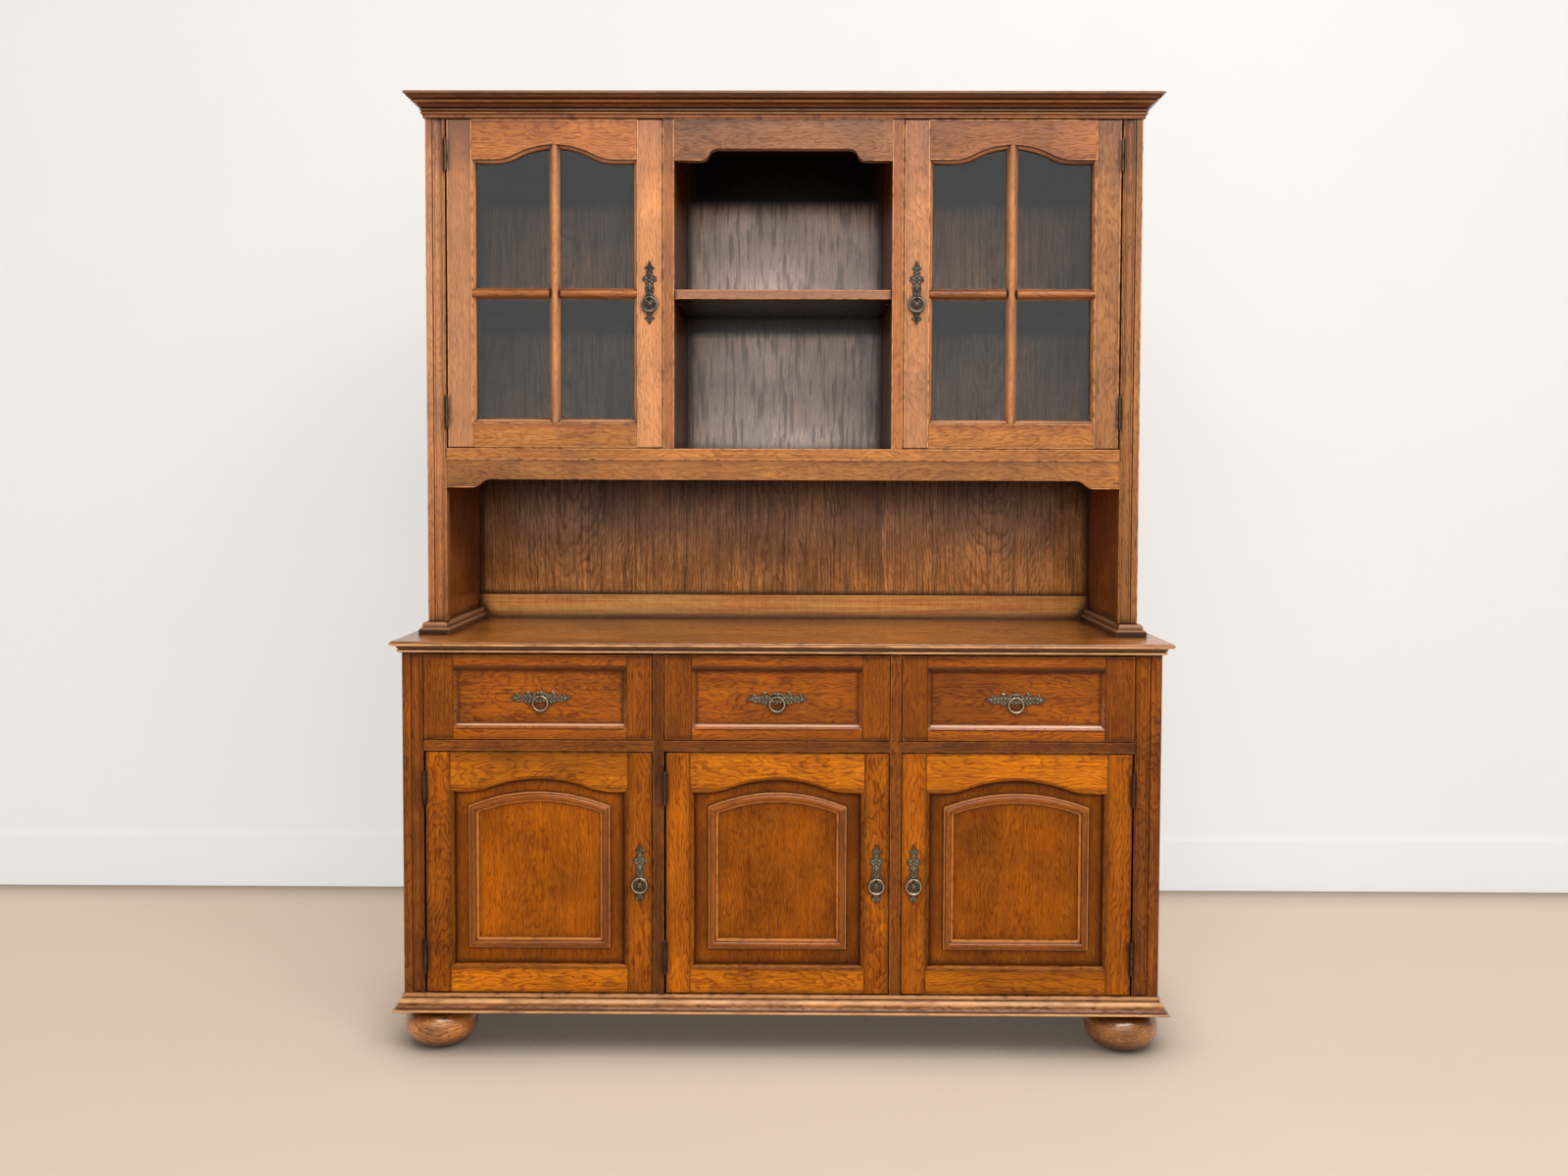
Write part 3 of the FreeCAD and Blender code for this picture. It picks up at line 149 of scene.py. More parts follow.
class Graph:
    """The node tree of one material."""

    def __init__(self, name):
        self.material = bpy.data.materials.new(name)
        self.material.use_nodes = True
        self.tree = self.material.node_tree
        self.tree.nodes.clear()

    def add(self, kind, settings=None, inputs=None, output=0):
        """A node with its settings made first, and then the values or links of its sockets."""
        node = self.tree.nodes.new(kind)
        for key, setting in (settings or {}).items():
            if key == "stops":
                self.set_stops(node.color_ramp, setting)
            else:
                setattr(node, key, setting)
        for key, number in (inputs or {}).items():
            if isinstance(number, Value):
                self.tree.links.new(number.socket, node.inputs[key])
            else:
                node.inputs[key].default_value = number
        return Value(self, node.outputs[output]) if node.outputs else None

    @staticmethod
    def set_stops(ramp, stops):
        """Sets a ramp's places and colours."""
        while len(ramp.elements) < len(stops):
            ramp.elements.new(1)
        for element, (place, colour) in zip(ramp.elements, stops):
            element.position = place
            element.color = (*colour, 1)

    def attribute(self, name, output="Vector"):
        return self.add("ShaderNodeAttribute", {"attribute_name": name}, output=output)

    def places(self):
        return self.add("ShaderNodeTexCoord", output="Object")

    def split(self, vector):
        node = self.add("ShaderNodeSeparateXYZ", None, {0: vector}).socket.node
        return [Value(self, socket) for socket in node.outputs]

    def join(self, x, y, z):
        return self.add("ShaderNodeCombineXYZ", None, {0: x, 1: y, 2: z})

    def noise(self, vector, scale=1, detail=2):
        """Noise from 0 to 1 about a half."""
        return self.add("ShaderNodeTexNoise", None, {"Vector": vector, "Scale": scale, "Detail": detail})

    def mix(self, factor, first, second, blend="MIX"):
        """A mix of two colours."""
        return self.add(
            "ShaderNodeMix", {"data_type": "RGBA", "blend_type": blend},
            {"Factor": factor, "A": full_colour(first), "B": full_colour(second)}, output="Result",
        )

    def tint(self, mask, colour, factors):
        """The colour times these factors where the mask is 1."""
        return self.mix(mask, colour, self.mix(1, colour, factors, "MULTIPLY"))

    def blend(self, factor, first, second):
        """A mix of two numbers."""
        return first + (second - first) * factor

    def hollows(self, distance, samples=6, inside=False, local=True):
        """How open the surface is: 1 in the open, less near an inside corner, or near an edge from inside."""
        return self.add(
            "ShaderNodeAmbientOcclusion", {"samples": samples, "inside": inside, "only_local": local},
            {"Distance": distance}, output="AO",
        )

    def finish(self, sockets, bump=None, softened=None):
        """Ends the tree in a Principled shader."""
        if softened:
            sockets["Normal"] = self.add("ShaderNodeBevel", {"samples": 4}, {"Radius": softened})
        if bump:
            height, distance, strength = bump
            inputs = {"Height": height, "Distance": distance, "Strength": strength}
            if "Normal" in sockets:
                inputs["Normal"] = sockets["Normal"]
            sockets["Normal"] = self.add("ShaderNodeBump", None, inputs)
        shader = self.add("ShaderNodeBsdfPrincipled", None, sockets)
        self.add("ShaderNodeOutputMaterial", None, {"Surface": shader})
        return self.material


def full_colour(colour):
    """The colour with an alpha of 1, and a socket as it is."""
    return colour if isinstance(colour, Value) else (*colour[:3], 1)


def shade(colour, factor):
    """The colour times a factor."""
    return tuple(channel * factor for channel in colour)


# Grain: each board's own coordinates, kept on its mesh as attributes


def mesh_arrays(mesh):
    """The vertex places and the triangles of a mesh."""
    places = np.empty(len(mesh.vertices) * 3, np.float32)
    mesh.vertices.foreach_get("co", places)
    corners = np.empty(len(mesh.loops), np.int32)
    mesh.loops.foreach_get("vertex_index", corners)
    return places.reshape(-1, 3), corners.reshape(-1, 3)


def solids_of(places, faces):
    """Numbers the solids in a mesh: triangles belong together where exactly two share an edge."""
    steps = np.round(places * 1e5).astype(np.int64)
    keys = steps[:, 0] + steps[:, 1] * 10**6 + steps[:, 2] * 10**12
    corner = np.unique(keys, return_inverse=True)[1].ravel()[faces]
    edges = np.sort(corner[:, [0, 1, 1, 2, 2, 0]].reshape(-1, 2), axis=1)
    owners = np.repeat(np.arange(len(faces)), 3)
    codes = edges[:, 0].astype(np.int64) * (corner.max() + 1) + edges[:, 1]
    order = np.argsort(codes, kind="stable")
    owners = owners[order]
    starts, counts = np.unique(codes[order], return_index=True, return_counts=True)[1:]
    pairs = starts[counts == 2]
    first, second = owners[pairs], owners[pairs + 1]
    labels = np.arange(len(faces))
    while True:
        lowest = np.minimum(labels[first], labels[second])
        after = labels.copy()
        np.minimum.at(after, first, lowest)
        np.minimum.at(after, second, lowest)
        after = after[after]
        if (after == labels).all():
            return np.unique(labels, return_inverse=True)[1].ravel()
        labels = after


def longest(middles, low, high):
    """Every face of a board has its grain along the board's longest side."""
    return np.full(len(middles), int(np.argmax(high - low)))


def upright(middles, low, high):
    """Every face of a panel has its grain upright."""
    return np.full(len(middles), 2)


def round_frame(width, rise):
    """A moulding of this width round an opening whose top rises: its sides are upright up to the mitres."""

    def rule(middles, low, high):
        to_side = np.minimum(middles - low, high - middles)[:, 0]
        above_foot = middles[:, 2] - low[2] > to_side
        below_head = high[2] - rise - middles[:, 2] > to_side
        return np.where((to_side < width) & above_foot & below_head, 2, 0)

    return rule


def round_carcass(half_width, face):
    """A moulding round three sides: each face follows the arm that it stands out from."""

    def rule(middles, low, high):
        beyond_side = np.abs(middles[:, 0]) - half_width
        beyond_front = face - middles[:, 1]
        return np.where(beyond_front >= beyond_side, 0, 1)

    return rule


STICKING_RULE = round_frame(0.0085, 0.026)
ARCH_RULE = round_frame(0.0205, 0.028)


def door_parts(middles, low, high):
    """Thin mouldings of a door go round it; its boards follow their longest side."""
    thin = high[1] - low[1] < 1.1 * PANEL_SETBACK and min(high[0] - low[0], high[2] - low[2]) > 0.1
    return (STICKING_RULE if thin else longest)(middles, low, high)


def panel_parts(middles, low, high):
    """The panel's grain is upright, and that of the moulding in front of it goes round."""
    in_front = low[1] < DOOR_FACE + 0.5 * PANEL_SETBACK
    return (ARCH_RULE if in_front else upright)(middles, low, high)


def random_shares(number):
    """Three fixed random shares from a whole number."""
    return np.modf(np.sin(number * np.array([12.9898, 78.233, 37.719])) * 43758.5453)[0] % 1


def lay_grain(name, rule):
    """Gives each vertex its place along, across and through its board, the board's half size and shares."""
    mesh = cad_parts[name].data
    places, faces = mesh_arrays(mesh)
    labels = solids_of(places, faces)
    grain = np.zeros_like(places)
    half = np.zeros_like(places)
    shares = np.zeros_like(places)
    stands = np.zeros(len(places), np.float32)
    for label in range(labels.max() + 1):
        mine = faces[labels == label]
        low, high = places[mine].reshape(-1, 3).min(0), places[mine].reshape(-1, 3).max(0)
        ways = rule(places[mine].mean(1), low, high)
        own = random_shares(label + 7.3 * sum(name.encode()))
        for way in np.unique(ways):
            others = [axis for axis in range(3) if axis != way]
            others.sort(key=lambda axis: low[axis] - high[axis])
            axes = [way, *others]
            points = np.unique(mine[ways == way])
            grain[points] = (places[points] - (low + high) / 2)[:, axes]
            half[points] = ((high - low) / 2)[axes]
            shares[points] = (own + 0.37 * way) % 1
            stands[points] = way == 2
    for attribute, values in (("grain", grain), ("half_size", half), ("shares", shares)):
        mesh.attributes.new(attribute, "FLOAT_VECTOR", "POINT").data.foreach_set("vector", values.ravel())
    mesh.attributes.new("stands", "FLOAT", "POINT").data.foreach_set("value", stands)


# Materials


def wood_figure(graph, along, across, depth, shares, ring, curl):
    """The figure of sawn oak, from 0 where it is dark to 1 where it is light, and its pores.

    Growth rings are cylinders about a pith that runs slantwise behind the board, so they surface as
    nested arches. Noise of three sizes bends them into the curls of brown oak, and the late wood of
    each ring is a thin dark line. Ray flecks lie in patches and fine pores run along the board.
    """
    share_a, share_b, share_c = graph.split(shares)
    seed_a, seed_b = share_a * 9, share_b * 7
    broad = graph.noise(graph.join(along * 3 + seed_a, across * 8, depth * 8 + seed_b), detail=2) - 0.5
    swirl = graph.noise(graph.join(along * 12 + seed_b, across * 30 + seed_a, depth * 30), detail=2) - 0.5
    fine = graph.noise(graph.join(along * 32, across * 120, depth * 120 + seed_a), detail=2) - 0.5
    off_side = across - (share_b - 0.5) * 0.08 + broad * 0.06
    off_depth = depth + 0.03 + share_c * 0.07 + along * (share_a - 0.5) * 0.3 + broad * 0.04
    radius = (off_side * off_side + off_depth * off_depth).root()
    turn = ((radius + swirl * 0.034 * curl + fine * 0.003) / ring).fraction()
    late = turn.ease(0.5, 0.85) * (1 - turn.ease(0.88, 1))
    streaks = graph.noise(graph.join(along * 5 + seed_a, across * 260, depth * 260 + seed_b), detail=2) - 0.5
    pores = graph.noise(graph.join(along * 60, across * 800 + seed_a, depth * 800), detail=0).ease(0.6, 0.74)
    flecks = graph.noise(graph.join(along * 55 + swirl * 9, across * 170 + fine * 5, depth * 170), detail=1)
    tone = 0.59 - late * 0.28 + streaks * 0.55 + fine * 0.36 + swirl * 0.45
    tone = tone + (flecks.ease(0.54, 0.66) * 0.16 - 0.04) * share_c.ease(0.2, 0.6)
    return tone, pores, broad


def oak(name, colour, contrast=1.0, brightness=0.25, wear=0.5, varnish_and_shade=0.8, moulded=False, gloss=0.34,
        ring=0.0045, curl=1.0, figure_of=None, colour_and_shade=None, shine=0.2, margin=0.2, coat=0.0):
    """Satin varnished oak: figure, worn light edges, dark varnish and painted shade in the hollows, painted
    shade along the boards' edges and fine pores.
    """
    graph = Graph(name)
    looks = bpy.context.scene.cabinet_looks
    if figure_of:
        along, across, depth, shares, seam = figure_of(graph)
    else:
        along, across, depth = graph.split(graph.attribute("grain"))
        shares = graph.attribute("shares")
        half_along, half_across, half_depth = graph.split(graph.attribute("half_size"))
        seam = 1 - (half_along - abs(along)).ease(SEAM * 0.4, SEAM * 1.6)
    tone, pores, broad = wood_figure(graph, along, across, depth, shares, ring, curl)
    tone = 0.5 + (tone - 0.5) * contrast
    body = graph.add("ShaderNodeValToRGB", {"stops": (
        (0.0, (colour[0] * 0.2, colour[1] * 0.12, colour[2] * 0.06)),
        (0.3, (colour[0] * 0.6, colour[1] * 0.5, colour[2] * 0.4)),
        (0.54, colour),
        (0.8, (colour[0] * 1.42, colour[1] * 1.55, colour[2] * 1.7)),
        (1.0, (colour[0] * 1.85, colour[1] * 2.2, colour[2] * 3)),
    )}, {"Fac": tone})
    own_share = graph.split(shares)[1]
    blotches = graph.noise(graph.places(), 8, 3) - 0.5
    level = 1 + (own_share - 0.5) * brightness * 2 + blotches * 1.15 + broad * 0.9
    # Painted shade and dark varnish along each board's edges, darkest where the gaps between parts fall in
    # shadow
    if not figure_of:
        rim = half_across - abs(across)
        level = level * (1 - (1 - rim.ease(0.0008, 0.004)) * margin - (1 - rim.ease(0.002, 0.014)) * 0.2)
    body = graph.mix(1, body, graph.join(level, level, level), "MULTIPLY")
    body = graph.mix(pores * 0.5, body, shade(colour, 0.1))
    # The colour hook gives real tones of the wood and also painted shade, painted light and painted
    # highlights
    if colour_and_shade:
        body = colour_and_shade(graph, body)
    # Painted shade and dark varnish in the hollows and crevices, from how closed in each point is
    wide_air = graph.hollows(0.03, local=False)
    near_air = graph.hollows(0.012, local=False)
    varnish_and_shade_mask = (1 - wide_air.ease(0.58, 1.0)) * 0.9 + (1 - near_air.ease(0.5, 1.0)) * 0.7
    body = graph.mix((varnish_and_shade_mask * varnish_and_shade).least(0.93), body, (colour[0] * 0.1, colour[1] * 0.06, colour[2] * 0.03))
    nicks = graph.noise(graph.places(), 60, 3)
    if moulded or figure_of:
        edge = (1 - graph.hollows(0.006, inside=True).ease(0.35, 0.8)) * nicks.ease(0.25, 0.55)
    else:
        second_nearest = (half_across - abs(across)).most(half_depth - abs(depth))
        edge = (1 - second_nearest.ease(0.0003, 0.0026)) * nicks.ease(0.3, 0.6)
    worn = (min(0.9, colour[0] * 1.9 + 0.05), colour[1] * 2.4 + 0.03, colour[2] * 3.5 + 0.02)
    body = graph.mix(edge * wear * looks.wear, body, worn)
    body = graph.mix(seam * 0.75, body, shade(colour, 0.05))
    rough = gloss + pores * 0.2 + (0.5 - tone) * 0.12
    height = tone * 0.5 - pores * 0.6 - seam * 2
    return graph.finish(
        {"Base Color": body, "Roughness": rough, "Specular IOR Level": shine,
         "Coat Weight": coat(graph) if callable(coat) else coat, "Coat Roughness": 0.16},
        bump=(height, 0.001, 0.55), softened=0.0014,
    )


def assign(material, *names):
    """Puts the material on these nodes of the frame."""
    for name in names:
        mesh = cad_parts[name].data
        mesh.materials.clear()
        mesh.materials.append(material)


def drawer_figure(graph):
    """Places in a drawer front: its ends are upright stiles and the rest lies across."""
    x, y, z = graph.split(graph.attribute("grain"))
    left, right, share = graph.split(graph.attribute("field"))
    on_left, on_right = x < left, x > right
    stile = on_left.most(on_right)
    along = graph.blend(stile, x, z)
    across = graph.blend(stile, z, x)
    seam = 1 - abs(x - left).least(abs(x - right)).ease(SEAM * 0.5, SEAM * 1.5)
    low_rail = (z < -0.05) * (1 - stile)
    high_rail = (z > 0.05) * (1 - stile)
    shares = graph.join(
        (share + on_left * 0.31 + on_right * 0.57 + low_rail * 0.2).fraction(),
        (share * 3.1 + stile * 0.33 + high_rail * 0.21 + low_rail * 0.3).fraction(),
        (share * 5.7 + on_right * 0.4 + low_rail * 0.45).fraction(),
    )
    return along, across, y, shares, seam


# Surfaces for new pieces


def skin(points, closed_rows=False):
    """Joins a grid of points into quads; its columns close on themselves.

    Rows close too where closed_rows is set, and otherwise a pole caps each end.
    """
    rows, cols = points.shape[:2]
    index = np.arange(rows * cols).reshape(rows, cols)
    near = index if closed_rows else index[:-1]
    far = np.roll(index, -1, 0) if closed_rows else index[1:]
    quads = np.stack([near, np.roll(near, -1, 1), np.roll(far, -1, 1), far], -1).reshape(-1, 4)
    vertices = points.reshape(-1, 3)
    faces = [quads]
    if not closed_rows:
        ends = np.stack([points[0].mean(0), points[-1].mean(0)])
        vertices = np.concatenate([vertices, ends])
        first, last = index[0], index[-1]
        pole = np.full(cols, rows * cols)
        faces.append(np.stack([np.roll(first, -1), first, pole], -1))
        faces.append(np.stack([last, np.roll(last, -1), pole + 1], -1))
    return vertices, faces


def add_piece(name, parts, body, material, stands_for):
    """Makes one smooth mesh of the skins, which replaces a node and rides on its body."""
    vertices = np.concatenate([part[0] for part in parts])
    faces = []
    start = 0
    for points, groups in parts:
        for group in groups:
            faces.extend((group + start).tolist())
        start += len(points)
    mesh = bpy.data.meshes.new(name)
    mesh.from_pydata(vertices.tolist(), [], faces)
    mesh.polygons.foreach_set("use_smooth", np.ones(len(mesh.polygons), bool))
    mesh.materials.append(material)
    mesh.update()
    piece = bpy.data.objects.new(name, mesh)
    bpy.context.scene.collection.objects.link(piece)
    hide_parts(stands_for)
    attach(piece, body)


def dome(centre, radius, height, rows=10, cols=28, rim=0.0):
    """A dome that stands out towards -Y: radius cos(a), height sin(a), with a raised rim."""
    rise = np.linspace(0, math.pi / 2, rows)[:, None]
    turn = np.linspace(0, 2 * math.pi, cols, endpoint=False)[None, :]
    reach = radius * np.cos(rise) * (1 - 0.02 * np.cos(rise))
    lift = height * np.sin(rise) + rim * np.exp(-(((np.cos(rise) - 0.8) / 0.1) ** 2))
    grid = np.stack([reach * np.cos(turn), -lift + 0 * turn, reach * np.sin(turn)], -1)
    return skin(grid + np.array(centre))


def hoop(centre, radius, wire, swell=0.0, collar=0.0, upright=False, rows=64, cols=16):
    """A ring of round wire that swells towards its foot and has a turned collar there.

    Round the ring the wire's radius is wire + swell (1 - cos t) / 2 + collar's bumps near t = pi.
    """
    turn = np.linspace(0, 2 * math.pi, rows, endpoint=False)[:, None]
    round_wire = np.linspace(0, 2 * math.pi, cols, endpoint=False)[None, :]
    from_foot = turn - math.pi
    middle_bump = np.exp(-((from_foot / 0.12) ** 2))
    outer_bumps = np.exp(-(((abs(from_foot) - 0.34) / 0.07) ** 2))
    bumps = collar * (middle_bump + 0.7 * outer_bumps)
    thick = wire + swell * (1 - np.cos(turn)) / 2 + bumps
    reach = radius + thick * np.cos(round_wire)
    side = thick * np.sin(round_wire)
    if upright:
        grid = np.stack([side, -reach * np.sin(turn), reach * np.cos(turn)], -1)
    else:
        grid = np.stack([reach * np.sin(turn), -side, reach * np.cos(turn)], -1)
    return skin(grid + np.array(centre), closed_rows=True)


# Outlines of the plates, chosen from the photograph: the place along the plate in shares of its
# length from the middle, and the reach to each side in shares of half its width

STANDING_HALF = (
    (-0.5, 0.0), (-0.465, 0.22), (-0.44, 0.36), (-0.42, 0.72), (-0.4, 0.62), (-0.385, 0.38),
    (-0.35, 0.42), (-0.31, 0.45), (-0.28, 0.52), (-0.24, 0.8), (-0.2, 0.9), (-0.16, 0.92), (-0.12, 0.86),
    (-0.08, 0.68), (-0.04, 0.55), (0.0, 0.55), (0.05, 0.64), (0.1, 0.6), (0.14, 0.5), (0.165, 0.78),
    (0.195, 1.0), (0.235, 0.95), (0.26, 0.6), (0.275, 0.42), (0.31, 0.47), (0.34, 0.36), (0.36, 0.36),
    (0.375, 0.7), (0.392, 0.72), (0.41, 0.36), (0.45, 0.18), (0.5, 0.0),
)
STANDING_OUTLINE = tuple((place, reach, reach) for place, reach in STANDING_HALF)
LYING_HALF = (
    (-0.5, 0.0, 0.0), (-0.465, 0.26, 0.3), (-0.423, 0.46, 0.5), (-0.388, 0.78, 0.62), (-0.36, 0.54, 0.68),
    (-0.32, 0.52, 0.6), (-0.272, 0.44, 0.5), (-0.248, 0.7, 0.8), (-0.206, 1.12, 1.0), (-0.178, 0.92, 0.92),
    (-0.157, 0.5, 0.68), (-0.108, 0.66, 0.62), (-0.052, 0.84, 0.7), (0.0, 0.92, 0.8),
)
LYING_OUTLINE = LYING_HALF + tuple((-place, up, down) for place, up, down in LYING_HALF[-2::-1])


def plate(centre, length, width, thickness, lies_flat, rows=170, cols=44):
    """A cast plate: its outline's reach w(t) to either side carries a front whose height falls at the edge.

    Round each section the angle a gives x = w cos a. The front stands thickness (1 - cos^8 a) high,
    with a bead inside the edge and veins, and the back half of the section is flat.
    """
    table = np.array(LYING_OUTLINE if lies_flat else STANDING_OUTLINE)
    run = np.linspace(-0.5, 0.5, rows)
    reach = np.stack([np.interp(run, table[:, 0], table[:, side]) for side in (1, 2)])
    lobes = 1 + 0.08 * np.sin(run * 105 + 0.6) * (abs(run) < 0.47)
    reach = np.maximum(reach * lobes, 0.02)[:, :, None] * width / 2
    angle = np.linspace(0, 2 * math.pi, cols, endpoint=False)[None, :]
    share = np.cos(angle)
    across = np.where(share > 0, reach[0], reach[1]) * share
    bead = 0.4 * np.exp(-(((abs(share) - 0.8) / 0.09) ** 2))
    veins = 0.34 * np.cos(run[:, None] * 105) * np.cos(share * 7) * (1 - share**4)
    spine = 0.25 * np.exp(-((share / 0.22) ** 2))
    front = thickness * ((1 - abs(share) ** 8) * (0.62 + bead + veins + spine))
    lift = np.where(np.sin(angle) > 0, front, 0)
    along = run[:, None] * length + 0 * share
    grid = np.stack([along, -lift, across] if lies_flat else [across, -lift, along], -1)
    if lies_flat:
        grid = grid[::-1]
    return skin(grid + np.array(centre))


def arched_rod(centre, radius, thick, spread, rows=24, cols=14):
    """A hood over the eye: a rod bent through 2 spread about the centre, thinner towards its ends.

    At the angle a from the top its middle is at radius (sin a, cos a) and its half thickness is
    thick cos(0.8 a).
    """
    bend = np.linspace(-spread, spread, rows)[:, None]
    turn = np.linspace(0, 2 * math.pi, cols, endpoint=False)[None, :]
    own = thick * np.cos(0.8 * bend)
    reach = radius + own * np.cos(turn)
    grid = np.stack([reach * np.sin(bend), -own * np.sin(turn), reach * np.cos(bend)], -1)
    return skin(grid + np.array(centre))


# Settings


def colour_setting(name, description, default):
    return bpy.props.FloatVectorProperty(
        name=name, description=description, subtype="COLOR", size=3, min=0, max=1, default=default)


class CabinetLooks(bpy.types.PropertyGroup):
    """Colours, wear and light of the cabinet."""

    door_oak: colour_setting("Door oak", "Golden oak of the lower doors' frames", (0.31, 0.078, 0.001))
    panel_oak: colour_setting("Panel oak", "Browner oak of the lower panels", (0.34, 0.084, 0.0))
    frame_oak: colour_setting("Frame oak", "Dark oak of the base's frame", (0.28, 0.07, 0.001))
    drawer_oak: colour_setting("Drawer oak", "Oak of the drawer fronts", (0.295, 0.072, 0.0008))
    hutch_oak: colour_setting("Hutch oak", "Paler, pinker oak of the hutch's front", (0.34, 0.104, 0.018))
    hutch_side_oak: colour_setting("Hutch side oak", "Oak of the hutch's sides", (0.32, 0.085, 0.012))
    foot_oak: colour_setting("Foot oak", "Glossy oak of the feet", (0.54, 0.2, 0.042))
    cornice_oak: colour_setting("Cornice oak", "Dark oak of the cornice", (0.13, 0.027, 0.0))
    plinth_oak: colour_setting("Plinth oak", "Paler, worn oak of the plinth", (0.37, 0.13, 0.025))
    countertop_oak: colour_setting("Countertop oak", "Satin oak of the countertop", (0.54, 0.18, 0.028))
    back_oak: colour_setting("Back oak", "Dark oak of the hutch's back boards", (0.47, 0.23, 0.1))
    inner_oak: colour_setting("Inner oak", "Dull oak inside the carcass", (0.2, 0.09, 0.03))
    brass: colour_setting("Antique brass", "Worn metal of the lower pulls", (0.14, 0.115, 0.075))
    ring_brass: colour_setting("Ring brass", "Rubbed metal of the lower rings", (0.5, 0.4, 0.28))
    pewter: colour_setting("Dark pewter", "Metal of the upper plates", (0.075, 0.06, 0.05))
    ring_pewter: colour_setting("Ring pewter", "Rubbed metal of the upper rings", (0.2, 0.17, 0.14))
    hinge_metal: colour_setting("Hinge metal", "Aged metal of the hinges", (0.09, 0.06, 0.04))
    glass_tint: colour_setting("Glass", "Tint of the panes", (0.82, 0.86, 0.86))
    wear: bpy.props.FloatProperty(
        name="Wear", description="How far the edges are worn to pale wood", subtype="FACTOR",
        min=0, max=1, default=0.8)
    key_power: bpy.props.FloatProperty(
        name="Key light", description="Power of the large light above the front", unit="POWER",
        min=0, default=130)
    sky_level: bpy.props.FloatProperty(
        name="Sky level", description="Strength of the even light from all round", min=0, default=0.3)
    wall: colour_setting("Wall", "Off-white wall behind the cabinet", (0.92, 0.9, 0.875))
    floor: colour_setting("Floor", "Plain pale floor", (0.8, 0.645, 0.515))


# Operators, one for each group of like pieces


class CABINET_OT_base_oak(bpy.types.Operator):
    """Finish the boards of the base"""

    bl_idname = "cabinet.base_oak"
    bl_label = "Base Oak"

    def execute(self, context):
        looks = context.scene.cabinet_looks
        for name in ("base_face_frame", "base_side_left", "base_side_right", "bun_feet"):
            lay_grain(name, longest)
        assign(oak("frame_oak", looks.frame_oak, wear=0.45, coat=0.15), "base_face_frame")
        sides = oak("side_oak", shade(looks.door_oak, 0.8), wear=0.5, moulded=True)
        assign(sides, "base_side_left", "base_side_right")
        feet = oak("foot_oak", looks.foot_oak, wear=0.2, moulded=True, gloss=0.3, shine=0.4, coat=1.0)
        assign(feet, "bun_feet")
        return {"FINISHED"}


def golden_rails(graph, body):
    """The rails are paler and more golden than the stiles."""
    lies = 1 - graph.attribute("stands", "Fac")
    return graph.tint(lies, body, (1.45, 1.62, 1.7))


def on_moulding(graph):
    """1 on the moulding that stands in front of a door's panel and 0 on the panel."""
    depth = graph.split(graph.places())[1]
    return 1 - depth.ease(DOOR_FACE + 0.5 * PANEL_SETBACK, DOOR_FACE + 0.9 * PANEL_SETBACK)


def shaded_margin(graph, body):
    """Painted shade with patchy old varnish lies darker on the panel's margin next to the frame, and a
    painted highlight lies on the crest of its moulding.
    """
    along, across = graph.split(graph.attribute("grain"))[:2]
    half_along, half_across = graph.split(graph.attribute("half_size"))[:2]
    reach = (half_across - abs(across)).least(half_along - abs(along))
    behind = 1 - on_moulding(graph)
    uneven = graph.noise(graph.places(), 14, 2) * 0.45 + 0.15
    # Painted shade within reach of the frame, patchy like old varnish
    shadow = (1 - reach.ease(0.016, 0.046)) * uneven + (1 - reach.ease(0.006, 0.02)) * 0.4
    body = graph.mix((shadow * behind).least(0.92), body, (0.04, 0.009, 0.0005))
    # Painted highlight along the crest of the moulding
    crest = (1 - graph.hollows(0.009, inside=True).ease(0.22, 0.46)) * (1 - behind)
    return graph.mix(crest * (uneven + 0.1), body, (0.8, 0.38, 0.15))


class CABINET_OT_doors(bpy.types.Operator):
    """Finish the frames and the panels of the lower doors"""

    bl_idname = "cabinet.doors"
    bl_label = "Lower Doors"

    def execute(self, context):
        looks = context.scene.cabinet_looks
        frames = oak("door_oak", looks.door_oak, contrast=0.85, wear=0.25, margin=0.45,
                     colour_and_shade=golden_rails, shine=0.16)
        panels = oak("panel_oak", looks.panel_oak, contrast=0.6, wear=0.7, moulded=True, ring=0.0035,
                     curl=0.7, colour_and_shade=shaded_margin, shine=0.14,
                     coat=lambda graph: on_moulding(graph) * 0.55)
        for bay in BAYS:
            lay_grain(bay + "_door_frame", door_parts)
            lay_grain(bay + "_door_panel", panel_parts)
            assign(frames, bay + "_door_frame")
            assign(panels, bay + "_door_panel")
        return {"FINISHED"}


def drawer_recess(graph):
    """How far a point lies inside a drawer front's ends, its edges and its rails, and its height."""
    x, _, z = graph.split(graph.attribute("grain"))
    left, right = graph.split(graph.attribute("field"))[:2]
    low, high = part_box("centre_drawer_front")
    upward = (high.z - low.z) / 2 - abs(z)
    return (x - left).least(right - x), upward, upward - DRAWER_RAIL, z


